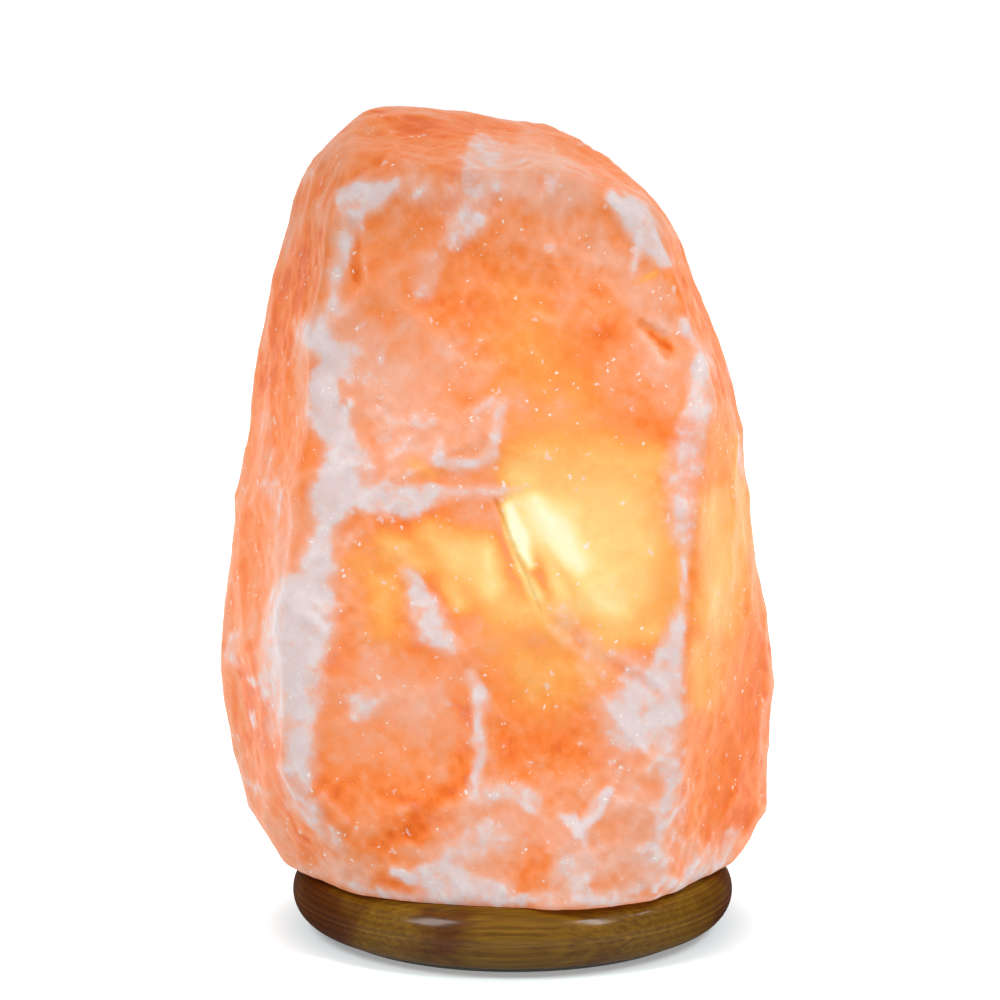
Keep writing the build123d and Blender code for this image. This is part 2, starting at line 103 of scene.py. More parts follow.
def hashed(cell, seed):
    """Mixes three whole numbers and a seed by multiplying and shifting, to a number from 0 to 1."""
    mixed = cell[..., 0] * 73856093 ^ cell[..., 1] * 19349663 ^ cell[..., 2] * 83492791 ^ seed * 9176213
    mixed = (mixed & 0xFFFFFFFF) * 0x45D9F3B & 0xFFFFFFFF
    mixed = (mixed ^ mixed >> 15) * 0x2C1B3C6D & 0xFFFFFFFF
    return ((mixed ^ mixed >> 13) & 0xFFFFFF) / 0xFFFFFF


def noise(points, size, seed):
    """A smooth value from -1 to 1: random numbers at the corners of cubes of that size, blended
    across each cube by the curve 6t^5 - 15t^4 + 10t^3."""
    place = points / size
    cell = np.floor(place).astype(np.int64)
    t = place - cell
    t = t ** 3 * (t * (t * 6 - 15) + 10)
    total = np.zeros(len(points))
    for corner in np.ndindex(2, 2, 2):
        weight = np.prod(np.where(corner, t, 1 - t), axis=1)
        total += weight * hashed(cell + corner, seed)
    return 2 * total - 1


def layered_noise(points, size, seed, layers=3):
    """Noise plus finer noise: each layer has half the size and half the strength of the last."""
    total = sum(noise(points, size / 2 ** i, seed + i) / 2 ** i for i in range(layers))
    return total / sum(0.5 ** i for i in range(layers))


def broken_faces(points, size, tilt, seed):
    """The height of a surface that broke into shallow faces: each random seed, about one size from
    the next, has a face with its own step and slope that is hollowed by the square of the distance
    from the seed. The lowest face at a point wins, so that faces meet in ridges with no gap."""
    place = points / size
    cell = np.floor(place).astype(np.int64)
    height = np.full(len(points), np.inf)
    for step in np.ndindex(3, 3, 3):
        near = cell + np.array(step) - 1
        seeds = near + np.stack([hashed(near, seed + i) for i in range(3)], axis=1)
        slope = np.stack([hashed(near, seed + i) for i in range(3, 6)], axis=1) - 0.5
        offset = place - seeds
        here = np.sum(offset * slope, axis=1) + FACE_STEP * hashed(near, seed + 6)
        height = np.minimum(height, here + FACE_HOLLOW * np.sum(offset ** 2, axis=1))
    return (height - FACE_STEP) * size * tilt


def smooth_step(low, high, value):
    """0 below low, 1 above high, and the curve 3t^2 - 2t^3 between them."""
    t = np.clip((value - low) / (high - low), 0.0, 1.0)
    return t * t * (3 - 2 * t)


print("noise at the origin", np.round(noise(np.zeros((1, 3)), 1.0, 1), 3))

# %% [markdown]
# ## From rows of points to a closed mesh
# The rock's skin is worked out as rows of points round an axis, from one pole to the other. One
# function joins neighbours into four-sided faces and closes both poles with triangles, so that the
# mesh has no seam and no hole.

# %% Closed mesh from rows
def closed_mesh(name, rows, top, bottom):
    """A mesh from rows x columns of points. Rows run from top to bottom, columns run round, and the
    last column joins the first. The two poles are single points joined to the rows beside them."""
    count, around = rows.shape[:2]
    points = np.concatenate([[top], rows.reshape(-1, 3), [bottom]])
    index = 1 + np.arange(count * around).reshape(count, around)
    beside = np.roll(index, -1, axis=1)
    quads = np.stack([index[:-1], index[1:], beside[1:], beside[:-1]], axis=-1).reshape(-1, 4)
    top_cap = np.stack([np.zeros(around, int), index[0], beside[0]], axis=-1)
    bottom_cap = np.stack([np.full(around, len(points) - 1), beside[-1], index[-1]], axis=-1)
    mesh = bpy.data.meshes.new(name)
    mesh.from_pydata(points.tolist(), [], quads.tolist() + top_cap.tolist() + bottom_cap.tolist())
    mesh.polygons.foreach_set("use_smooth", np.ones(len(mesh.polygons), bool))
    mesh.update()
    piece = bpy.data.objects.new(name, mesh)
    bpy.context.scene.collection.objects.link(piece)
    print(name, len(points), "points", len(mesh.polygons), "faces")
    return piece, points


# %% [markdown]
# ## The rock's main faces
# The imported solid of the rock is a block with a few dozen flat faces, a bore and three screw holes.
# Only its outer faces matter for the skin. Triangles count as one face if their directions agree to
# a fiftieth and their distances from the origin to a millimetre. A face is an outer one if no point
# of the solid lies beyond its plane, and the one that looks straight down is the seat.

# %% Read the main faces
DIRECTION_STEPS = 50
FLUSH = 0.05 * MM
STRAIGHT_DOWN = -0.99


def vectors_of(parts, kind):
    """One vector for each vertex or face of a mesh, as the rows of an array."""
    values = np.empty(len(parts) * 3)
    parts.foreach_get(kind, values)
    return values.reshape(-1, 3)


rock_solid = frame["nodes"]["salt_crystal"].data
corner_points = vectors_of(rock_solid.vertices, "co")
face_directions = vectors_of(rock_solid.polygons, "normal")
face_distances = np.sum(face_directions * vectors_of(rock_solid.polygons, "center"), axis=1)
alike = np.round(np.column_stack([face_directions * DIRECTION_STEPS, face_distances / MM]))
first_of_each = np.unique(alike, axis=0, return_index=True)[1]
reach = np.max(corner_points @ face_directions[first_of_each].T, axis=0)
is_outer = reach < face_distances[first_of_each] + FLUSH
is_side = face_directions[first_of_each, 2] > STRAIGHT_DOWN
main_faces = first_of_each[is_outer & is_side]
plane_directions = face_directions[main_faces]
plane_distances = face_distances[main_faces]
SEAT = float(corner_points[:, 2].min())
print("main faces", len(main_faces), "seat at", round(SEAT / MM, 2), "mm")

# %% [markdown]
# ## The skin of the rock
# Rays leave the middle of the rock and stop where the first main face is met. A soft minimum rounds
# the edges a little, as a rock that was broken and then washed has them. From the widest level down
# the rays are level, so that the last row lies flat on the seat. The rays stand closer together at
# the front, which is what is seen most.

# %% Rays that meet the rock
COLUMNS = 380
UPPER_ROWS = 142
LOWER_ROWS = 88
CIRCLE_STEPS = 720
FRONT_DENSITY = 0.5
EDGE_ROUNDING = 0.7 * MM
ROCK_MIDDLE = np.array([-3.0, 0.0, 100.0]) * MM
GRAZING = 1e-3
FAR_AWAY = 9.0

even = np.linspace(0, 2 * math.pi, CIRCLE_STEPS + 1)
crowded = even + FRONT_DENSITY * np.sin(even)
from_front = np.interp(np.linspace(0, 2 * math.pi, COLUMNS, endpoint=False), crowded, even)
bearing = from_front - math.pi / 2
level_rays = np.stack([np.cos(bearing), np.sin(bearing), np.zeros(COLUMNS)], axis=1)

tilt = np.linspace(0, math.pi / 2, UPPER_ROWS + 1)[1:, None, None]
upper_rays = np.sin(tilt) * level_rays + np.cos(tilt) * UP
upper_starts = np.broadcast_to(ROCK_MIDDLE, upper_rays.shape)
levels = np.linspace(ROCK_MIDDLE[2], SEAT, LOWER_ROWS + 1)[1:]
lower_rays = np.broadcast_to(level_rays, (LOWER_ROWS, COLUMNS, 3))
lower_starts = np.broadcast_to(ROCK_MIDDLE, lower_rays.shape).copy()
lower_starts[..., 2] = levels[:, None]


def meet_rock(starts, rays, rounding):
    """Where rays leave the rock, and the surface's direction there: the soft minimum of the
    distances to all planes, -r log(sum(exp(-distance / r))), and the planes' directions weighted
    the same way. A plane that a ray doesn't run towards counts as far away."""
    towards = rays @ plane_directions.T
    gap = (plane_distances - starts @ plane_directions.T) / np.maximum(towards, GRAZING)
    gap = np.where(towards > GRAZING, gap, FAR_AWAY)
    nearest = gap.min(axis=1, keepdims=True)
    share = np.exp((nearest - gap) / rounding)
    total = share.sum(axis=1, keepdims=True)
    distance = nearest - rounding * np.log(total)
    direction = (share / total) @ plane_directions
    direction /= np.linalg.norm(direction, axis=1, keepdims=True)
    return starts + rays * distance, direction


skin_rays = np.concatenate([upper_rays, lower_rays]).reshape(-1, 3)
skin_starts = np.concatenate([upper_starts, lower_starts]).reshape(-1, 3)
skin, skin_direction = meet_rock(skin_starts, skin_rays, EDGE_ROUNDING)
print("skin points", len(skin), "highest", np.round(skin.max(axis=0) / MM, 1))

# %% [markdown]
# ## Veins, colours and glow, placed one by one
# The rock's colours are part of its shape: white veins along the two front ridges, a cross vein, a
# crack with the bulb's light behind it. They are drawn as strokes on a pane of glass that stands
# square to the line of sight, in millimetres across and up from its middle. Each stroke has a
# strength, a softness and a line of (across, up, half its width). A point of the rock takes the
# colour of the place on the pane through which the camera sees it. It could be painted in UV space
# instead, but strokes like these stay easy to read and to move.

# %% Drawing on the pane
PANE_DISTANCE = 882.0 * MM


def on_pane(points):
    """Where the line from the eye to each point crosses the pane: (across, up) = pane distance
    times the point's sideways and upward share of its depth."""
    sight = points - EYE
    depth = sight @ view_forward
    return np.stack([sight @ view_right, sight @ view_up], axis=1) / depth[:, None] * PANE_DISTANCE


def stroke_edge(places, stroke):
    """The distance from each place to the edge of a stroke, below 0 inside it: the distance to the
    nearest leg of the line, less the half width there."""
    nearest = np.full(len(places), np.inf)
    line = np.array(stroke) * MM
    for start, end in zip(line[:-1], line[1:]):
        leg = (end - start)[:2]
        along = np.clip((places - start[:2]) @ leg / (leg @ leg), 0.0, 1.0)
        foot = start[:2] + along[:, None] * leg
        half_width = start[2] + (end - start)[2] * along
        nearest = np.minimum(nearest, np.linalg.norm(places - foot, axis=1) - half_width)
    return nearest


def paint(field, places, strokes, shown=1.0, build_up=False):
    """Draws strokes over a field of numbers: inside each one the field moves to the stroke's
    strength, and the edge fades over its softness. With build_up a stroke never lowers the field."""
    for strength, softness, stroke in strokes.values():
        edge = stroke_edge(places, stroke)
        cover = shown * (1 - smooth_step(-softness * MM, softness * MM, edge))
        target = np.maximum(field, strength) if build_up else strength
        field = field + (target - field) * cover
    return field


middle_places = on_pane(ROCK_MIDDLE[None])
print("the rock's middle on the pane", np.round(middle_places[0] / MM, 1), "mm")

# %% The strokes
RIGHT_FACET = [(50, 57, 10), (56, 43, 10), (63, 33, 10), (62, 23, 10), (59, 17, 10), (58, 10, 10),
    (58, 0, 10), (57, -13, 10), (56, -24, 10), (55, -34, 10), (55, -49, 10), (55, -69, 10), (55, -81, 9.5)]
WHITE_VEINS = {
    "clouds of the upper left": (0.4, 7.3, [(-38, 42, 6.5), (-29, 28, 10), (-23, 17, 9), (-28, 7, 6)]),
    "clouds left of the ridge": (0.36, 5.9, [(-53, -15, 3.5), (-54, -37, 5.5), (-51, -54, 5),
        (-49, -69, 4)]),
    "clouds of the middle left": (0.3, 6.4, [(-37, -47, 6.5), (-24, -49, 6.5), (-12, -51, 5.5),
        (-5, -59, 4)]),
    "clouds right of the middle": (0.34, 4.9, [(24, -44, 4), (29, -64, 5.5), (32, -78, 5.5)]),
    "clouds of the foot": (0.4, 4.4, [(-12, -86, 5), (0, -81, 6.5), (15, -81, 4.5), (24, -86, 6),
        (39, -88, 5.5), (51, -86, 3.5)]),
    "clouds of the top": (0.36, 4.9, [(-24, 77, 3.5), (-11, 74, 6.5), (5, 81, 7.5), (17, 80, 6),
        (15, 70, 4.5)]),
    "streak beside the ridge": (0.45, 2.5, [(-57, 21, 1), (-57, 7, 1.5), (-54, -2, 2), (-54, -12, 1.5)]),
    "left ridge shoulder": (0.62, 3.9, [(-53, -32, 3.5), (-56, -44, 3), (-54, -55, 2.5)]),
    "pale patch by the band": (0.5, 2.5, [(-17, 58, 3), (-19, 53, 3)]),
    "upper band": (0.62, 2.2, [(-4, 83, 5), (-6, 76, 5), (-7, 70, 4), (-12, 64, 2.5)]),
    "rim of the top right": (0.7, 1.5, [(7, 90, 1), (13, 89, 2), (18, 86, 1)]),
    "diagonal pink band": (0.42, 3.4, [(14, -27, 2), (22, -37, 3), (32, -41, 3.5), (39, -45, 3)]),
    "pale mid foot": (0.62, 2.9, [(-11, -85, 3.5), (-5, -83, 4.5), (0, -82, 2.5)]),
    "patch under the long vein": (0.55, 2.5, [(-5, -72, 3.5), (0, -71, 2.5)]),
    "foot chips a": (0.6, 1.7, [(5, -72, 3), (9, -74, 2.5)]),
    "foot chips b": (0.65, 1.2, [(15, -78, 1.5), (20, -80, 1.5), (23, -77, 1.5), (24, -74, 2),
        (27, -71, 1)]),
    "foot chips c": (0.6, 2.2, [(36, -86, 2.5), (38, -91, 3)]),
    "foot patch": (0.7, 2.2, [(15, -91, 3), (20, -90, 3.5), (18, -94, 3)]),
    "pale rim of the foot": (0.66, 2, [(-39, -93, 1), (-24, -98, 1.5), (0, -98, 1.5), (10, -98, 1.5),
        (22, -98, 2), (34, -96, 2), (47, -93, 2), (54, -89, 2)]),
    "pale foot left": (0.9, 2, [(-26, -91, 1), (-22, -92, 2), (-17, -93, 3.5), (-10, -94, 4), (0, -96, 3)]),
    "top patch": (0.95, 2.2, [(-38, 74, 3), (-32, 75, 4), (-26, 77, 2)]),
    "patch to ridge": (0.78, 2.5, [(-37, 72, 3), (-37, 66, 3), (-40, 58, 1.5), (-41, 49, 1.5),
        (-45, 40, 2.5)]),
    "left ridge upper": (0.95, 3.9, [(-46, 40, 3), (-40, 34, 4), (-43, 28, 3.5), (-42, 22, 4.5),
        (-40, 15, 4.5), (-38, 9, 5.5), (-40, 2, 5)]),
    "left ridge middle": (1, 3.9, [(-40, 2, 4), (-43, -6, 2.5), (-44, -12, 4), (-45, -20, 5.5),
        (-48, -27, 7)]),
    "left ridge lower": (1, 4.4, [(-48, -27, 7.5), (-49, -34, 7), (-50, -42, 5.5), (-49, -49, 4),
        (-48, -58, 2.5), (-49, -65, 2.5)]),
    "left ridge foot": (0.7, 2.5, [(-51, -66, 2.5), (-49, -74, 2.5), (-45, -79, 2), (-40, -83, 1.5)]),
    "branch at the ridge": (0.8, 1.2, [(-37, 37, 1.5), (-33, 36, 1)]),
    "cross vein left": (0.92, 2.7, [(-38, 2, 2), (-29, 0, 3.5), (-23, 0, 4), (-17, 1, 3)]),
    "cross vein right": (0.66, 2.2, [(-17, 1, 2.5), (-7, 2, 1.5), (0, 2, 1.5), (5, 3, 0.5)]),
    "ring left": (0.72, 1.5, [(-15, 13, 1.5), (-15, 10, 2), (-12, 9, 1.5)]),
    "ring bottom": (0.66, 1.5, [(-12, 9, 1.5), (-6, 9, 1.5), (-2, 11, 1.5)]),
    "ring right": (0.7, 1.5, [(-2, 12, 1.5), (-2, 17, 1.5), (-1, 22, 2), (1, 24, 1)]),
    "ring top": (0.5, 1.5, [(-7, 22, 1), (-2, 24, 1.5)]),
    "chips above the ring": (0.6, 1.2, [(-29, 22, 1), (-25, 19, 2)]),
    "upper right patch": (0.95, 2.2, [(28, 74, 2), (33, 71, 4.5), (37, 66, 5), (40, 61, 3.5)]),
    "upper right tail": (0.7, 0.98, [(34, 61, 1.5), (33, 57, 1)]),
    "right ridge top": (0.66, 2.2, [(45, 45, 1.5), (47, 40, 2), (49, 36, 2.5), (49, 31, 2.5)]),
    "right ridge a": (0.68, 2.5, [(49, 32, 3), (49, 22, 3), (48, 15, 2.5), (47, 8, 2)]),
    "right ridge b": (0.6, 3.7, [(45, 17, 2.5), (44, 7, 3.5), (44, -2, 4), (45, -9, 3), (46, -15, 1)]),
    "right ridge c": (0.78, 2, [(45, -15, 0.5), (45, -24, 1), (44, -31, 2), (42, -38, 3.5),
        (41, -44, 4.5)]),
    "right patch": (0.95, 4.4, [(34, -49, 4.5), (30, -53, 4.5), (34, -57, 4.5), (41, -53, 4.5)]),
    "right patch low": (0.72, 3.4, [(41, -59, 4.5), (42, -67, 3.5), (41, -76, 3), (39, -83, 2)]),
    "lower left blob": (0.78, 2.9, [(-22, -20, 2), (-19, -26, 3.5), (-16, -32, 4), (-12, -36, 2)]),
    "middle patch": (0.85, 2, [(-36, -49, 2), (-32, -49, 2.5), (-36, -52, 1.5), (-29, -48, 1)]),
    "long vein": (0.74, 1.5, [(-7, -43, 1), (-5, -48, 2), (-5, -54, 1.5), (-5, -61, 1.5), (-6, -68, 1.5)]),
    "left streak": (0.5, 0.98, [(-65, -33, 1), (-66, -38, 1.5), (-64, -41, 1)]),
    "left edge top": (0.45, 1.7, [(-48, 81, 1), (-51, 76, 1.5), (-52, 69, 1)]),
    "left spot a": (0.6, 0.73, [(-61, -44, 1), (-60, -45, 1)]),
    "left spot b": (0.6, 0.73, [(-61, -53, 1), (-60, -56, 0.5)]),
    "left edge low": (0.5, 1.2, [(-62, -69, 1), (-59, -71, 1.5)]),
    "right edge low": (0.5, 2.2, [(57, -82, 2), (55, -86, 2.5)]),
    "right edge foot": (0.55, 2.2, [(49, -90, 2), (56, -88, 1.5)]),
    "chip under the top": (0.6, 0.98, [(-5, 86, 3.5), (-3, 80, 3.5), (-6, 72, 3), (-8, 68, 1.5)]),
    "cloud left of the blob": (0.3, 4.4, [(-50, -5, 3), (-50, -12, 3)]),
    "cloud at the foot": (0.42, 3.4, [(-15, -79, 2), (-9, -81, 2.5)]),
    "cloud low on the right": (0.4, 3.4, [(43, -76, 2.5), (43, -83, 2.5)]),
    "veil under the streaks": (0.34, 2.9, [(15, -30, 2), (22, -35, 2.5)]),
    "pale plane low left": (0.34, 2.9, [(-20, -86, 2), (-17, -89, 2)]),
    "pale plane low right": (0.34, 2.9, [(34, -63, 2), (38, -66, 2)]),
    "pale plane at the left ridge": (0.5, 2.5, [(-43, 17, 1.5), (-43, 12, 1.5)]),
}
# Ember strokes give the rock's own deeper orange, and also painted shade: the left flank, its facets and edge
# and the rim of the top are painted deeper and darker where less light falls.
EMBER_AND_SHADE_PLACES = {
    "pale plane at the top": (0.22, 5.4, [(7, 82, 8.5), (12, 72, 8)]),
    "salmon below the top": (0.5, 5.4, [(-29, 64, 7.5), (-15, 51, 10), (5, 59, 9)]),
    "salmon below the top right": (0.22, 4.4, [(24, 65, 6), (34, 51, 5), (37, 42, 7), (38, 33, 5.5),
        (42, 24, 3.5)]),
    "salmon peak": (0.42, 2.9, [(-34, 92, 4.5), (-34, 82, 5)]),
    "left upper clouds": (0.3, 6.4, [(-26, 37, 10), (-28, 22, 9), (-22, 12, 7)]),
    "salmon under the cross vein": (0.42, 5.9, [(-37, -34, 3.5), (-27, -39, 6), (-15, -44, 4.5)]),
    "salmon of the lower left": (0.4, 5.4, [(-44, -59, 5), (-29, -59, 8.5), (-15, -59, 7.5), (-7, -64, 6)]),
    "salmon of the lower left facet": (0.45, 2.9, [(-64, -59, 3), (-60, -66, 3), (-56, -81, 3),
        (-51, -89, 2)]),
    "pale foot": (0.2, 3.9, [(-17, -86, 5.5), (5, -91, 6), (29, -91, 6), (47, -88, 4)]),
    "pale middle foot": (0.28, 3.9, [(-7, -76, 5), (5, -71, 4.5), (22, -74, 6), (34, -71, 6),
        (37, -83, 5.5)]),
    "left edge": (0.4, 2.5, [(-53, 74, 2), (-55, 61, 2)]),
    "left facet middle": (0.45, 2.9, [(-55, 7, 2.5), (-55, -15, 3)]),
    "orange rim of the top": (0.92, 1.7, [(-23, 91, 2), (-12, 91, 2.5), (0, 91, 2), (7, 91, 1)]),
    "orange below the peak": (0.75, 2.9, [(-47, 74, 3), (-43, 78, 2.5)]),
    "orange of the top right": (0.95, 2.5, [(21, 84, 3), (29, 81, 3), (37, 76, 2.5)]),
    "orange beside the right patch": (0.6, 2, [(25, 76, 2), (27, 67, 2), (29, 62, 1.5)]),
    "orange left flank": (0.98, 2.5, [(-46, 65, 2.5), (-49, 55, 3.5), (-55, 39, 3.5), (-57, 29, 3)]),
    "orange left flank low": (0.75, 3.4, [(-58, 15, 3), (-62, -5, 3), (-63, -24, 3)]),
    "orange window": (0.72, 1.7, [(-36, 66, 2), (-35, 54, 2)]),
    "orange spot below the top": (0.95, 0.98, [(36, 42, 1), (39, 40, 1.5), (40, 37, 1)]),
    "orange of the upper middle": (0.66, 8.3, [(-5, 44, 5.5), (5, 37, 10), (12, 42, 6.5)]),
    "orange left facet": (0.95, 2, [(-61, -37, 2), (-62, -47, 2.5), (-61, -54, 3), (-56, -61, 2)]),
    "orange strip low on the left": (0.85, 1.7, [(-53, -75, 1.5), (-49, -82, 2), (-47, -89, 1.5)]),
    "ember edge": (0.85, 2, [(-34, -85, 2), (-27, -84, 2.5), (-21, -81, 2), (-16, -75, 2)]),
    "ember left foot": (0.6, 3.4, [(-39, -74, 3), (-32, -77, 4.5), (-26, -76, 3)]),
    "ember column": (0.9, 2.2, [(-11, -47, 2), (-8, -58, 2.5), (-8, -66, 2.5), (-12, -71, 3)]),
    "ember right of the vein": (0.8, 2.5, [(0, -49, 3), (0, -61, 3)]),
    "orange of the lower middle": (0.7, 5.9, [(11, -49, 11), (11, -61, 8.5)]),
    "orange at the foot": (0.75, 2.9, [(-29, -93, 3), (-24, -96, 2.5)]),
    "ember foot": (0.72, 2.7, [(9, -81, 3.5), (9, -88, 3.5), (7, -94, 3)]),
    "right facet": (0.8, 0.49, RIGHT_FACET),
    "salmon of the right facet": (0.62, 2.9, [(52, 38, 3), (53, 29, 3), (54, 24, 3)]),
    "orange of the right edge": (1.0, 4.4, [(62, -29, 3.5), (63, -44, 4), (61, -59, 5.5), (58, -71, 5.5),
        (54, -82, 5)]),
    "orange right flank": (1.0, 2.5, [(44, 55, 2.5), (48, 48, 3), (52, 42, 3)]),
    "salmon low on the right edge": (0.6, 2.5, [(66, -59, 1.5), (64, -71, 2)]),
    "ember at the right foot": (0.7, 2, [(42, -85, 1.5), (44, -90, 2)]),
    "pale right foot": (0.35, 2.2, [(61, -83, 1), (58, -86, 1), (50, -90, 1.5)]),
    "dark rim of the top": (1.0, 2.2, [(-31, 94, 1.5), (-23, 94, 2), (-12, 93, 2.5), (0, 93, 2),
        (11, 92, 1.5)]),
    "peach left of the middle": (0.2, 6.4, [(-35, -17, 2.5), (-35, -34, 3), (-32, -42, 2.5)]),
    "salmon of the middle": (0.25, 4.4, [(-11, -41, 3), (-15, -47, 2.5)]),
    "salmon right of the middle": (0.3, 4.4, [(28, 34, 3), (29, 24, 3.5)]),
    "salmon of the upper right": (0.35, 3.4, [(27, 71, 3), (29, 65, 2.5)]),
    "ember of the left edge": (0.85, 2.9, [(-58, -47, 2), (-58, -58, 2), (-57, -67, 2)]),
    "salmon beside the top patch": (0.35, 2.9, [(-27, 71, 2.5), (-25, 67, 2.5)]),
    "ember flank under the top right": (0.9, 3.4, [(52, 38, 2.5), (54, 28, 2.5)]),
}
# Glow strokes are painted light: they stand in for the bulb's light coming through the salt.
PAINTED_GLOW_PLACES = {
    "warmth of the whole middle": (0.13, 20, [(10, 20, 7.5), (15, -5, 10), (10, -39, 7.5)]),
    "warm upper middle": (0.19, 11, [(5, 49, 6.5), (7, 37, 11), (15, 24, 11)]),
    "warm above the crack": (0.44, 8.3, [(4, 9, 3), (22, 9, 5), (37, 9, 3.5)]),
    "warm left of the middle": (0.34, 8.8, [(-34, -15, 3), (-28, -22, 5.5), (-28, -31, 4)]),
    "warm lower middle": (0.3, 11, [(0, -34, 4.5), (10, -42, 8.5), (22, -42, 6.5)]),
    "warm right": (0.5, 9.8, [(29, 0, 8.5), (34, -12, 9), (34, -24, 6)]),
    "light round the crack": (0.62, 8.3, [(11, 2, 4), (22, -7, 8.5), (27, -20, 6.5)]),
    "light left of the crack": (0.54, 6.4, [(-17, -9, 3), (-9, -15, 7), (-2, -23, 4)]),
    "light under the crack": (0.5, 4.9, [(0, -27, 2), (11, -27, 3), (20, -26, 3.5)]),
    "brightest left of the crack": (0.72, 3.4, [(-3, -13, 2), (-2, -21, 2)]),
    "light above the cross vein": (0.3, 3.4, [(-21, 9, 2), (-17, 7, 1.5)]),
    "light by the crack": (0.82, 5.4, [(4, 0, 2), (11, -7, 5.5), (18, -15, 3.5)]),
    "hot streak above": (0.96, 2.7, [(8, 0, 1.5), (15, -8, 3), (20, -17, 1.5)]),
    "hot streak by the crack": (0.98, 1.5, [(2, -2, 1.5), (5, -9, 2.5), (8, -16, 1)]),
    "wedge between the streaks": (0.6, 1.7, [(11, -12, 0.5), (13, -17, 1.5), (15, -23, 2)]),
    "light below the streaks": (0.74, 3.9, [(23, -22, 3), (29, -28, 3)]),
    "dark of the crack": (0.42, 0.49, [(-1, -1, 0), (2, -9, 0.5), (5, -16, 0.5), (8, -24, 0)]),
    "pink below the crack": (0.34, 2.5, [(12, -31, 1.5), (16, -33, 1.5)]),
    "right facet": (0.1, 0.49, RIGHT_FACET),
    "cool top of the right facet": (0.04, 3.4, [(47, 54, 3.5), (52, 42, 3.5), (54, 32, 3.5)]),
    "warm right facet": (0.26, 8.8, [(55, 15, 3), (58, 0, 3.5), (58, -24, 3.5), (52, -47, 2)]),
    "light of the right facet": (0.54, 5.9, [(52, -2, 2), (54, -16, 3), (52, -28, 2.5)]),
    "light of the right facet middle": (0.4, 3.4, [(59, 2, 2.5), (59, -10, 2.5)]),
    "light of the right facet low": (0.36, 3.9, [(49, -37, 2.5), (49, -49, 1.5)]),
    "cool right edge": (0.0, 3.9, [(67, -34, 2), (67, -47, 3), (64, -64, 4), (61, -76, 4)]),
    "yellow chips top right": (0.34, 1.2, [(38, 56, 1), (33, 53, 0.5)]),
    "light at the head of the crack": (0.6, 3.4, [(3, 6, 2), (7, 5, 2)]),
    "light between the crack and the streaks": (0.7, 2.2, [(5, -16, 1), (9, -23, 1.5)]),
    "light beside the blob": (0.5, 2.9, [(-12, -22, 1.5), (-10, -26, 2)]),
    "light left of the blob": (0.42, 3.9, [(-27, -11, 3), (-19, -16, 2)]),
    "light low on the right": (0.46, 4.4, [(26, -33, 3), (37, -32, 3)]),
    "warm beside the right ridge": (0.34, 4.4, [(43, -15, 1.5), (43, -26, 2)]),
}
DENTS = {
    "crack beside the light": (-0.9, 0.5, [(-1, 0, 0.3), (3, -10, 0.5), (7, -20, 0.5), (10, -27, 0.2)]),
    "notch below the top right": (-1.1, 1.2, [(35, 43, 1), (39, 40, 2), (41, 36, 1.5)]),
    "window at the top left": (-0.4, 0.9, [(-36, 68, 1.5), (-35, 54, 1.5)]),
    "hollow over the diagonal": (-0.5, 1.5, [(12, -28, 1), (24, -38, 1.5), (38, -46, 1)]),
    "hollow in the middle": (-0.6, 3.0, [(8, -50, 5), (10, -64, 5)]),
}
print("strokes", len(WHITE_VEINS), len(EMBER_AND_SHADE_PLACES), len(PAINTED_GLOW_PLACES), len(DENTS))

# %% [markdown]
# ## Broken faces, chips and raised veins
# The skin is pushed in and out along its own direction: by large and middle-sized faces, by chips
# where the rock is rough, by a slow swell and by fine pits. The white veins are harder than the salt
# round them, so they stand a little proud. Near the seat the skin is only pushed sideways.

# %% Break the surface
LARGE_FACE = 26.0 * MM
LARGE_TILT = 0.13
MIDDLE_FACE = 11.0 * MM
MIDDLE_TILT = 0.12
LEAST_MIDDLE = 0.4
CHIP = 4.5 * MM
CHIP_TILT = 0.12
LEAST_CHIP = 0.15
SWELL = 15.0 * MM
SWELL_HEIGHT = 0.5 * MM
PIT = 2.2 * MM
PIT_DEPTH = 0.12 * MM
LEAST_PIT = 0.3
WOBBLE = 9.0 * MM
WOBBLE_REACH = 1.6 * MM
ROUGH_PATCH = 34.0 * MM
PUSHED_OUT = 0.35 * MM
VEIN_HEIGHT = 0.6 * MM
SEEN_SQUARELY = 0.3
SEAT_MARGIN = 4.0 * MM

bends = [layered_noise(skin, WOBBLE, seed) for seed in (20, 23, 26)]
wobble = np.stack(bends, axis=1) * WOBBLE_REACH
rough_places = smooth_step(-0.25, 0.35, layered_noise(skin, ROUGH_PATCH, seed=50))
middles = broken_faces(skin + wobble, MIDDLE_FACE, MIDDLE_TILT, seed=11)
chips = broken_faces(skin + 0.5 * wobble, CHIP, CHIP_TILT, seed=31)
relief = broken_faces(skin + wobble, LARGE_FACE, LARGE_TILT, seed=1)
relief += middles * (LEAST_MIDDLE + (1 - LEAST_MIDDLE) * rough_places)
relief += chips * (LEAST_CHIP + (1 - LEAST_CHIP) * rough_places)
relief += layered_noise(skin, SWELL, seed=61) * SWELL_HEIGHT
relief += noise(skin, PIT, seed=71) * PIT_DEPTH * (LEAST_PIT + rough_places)
relief += PUSHED_OUT - relief.mean()

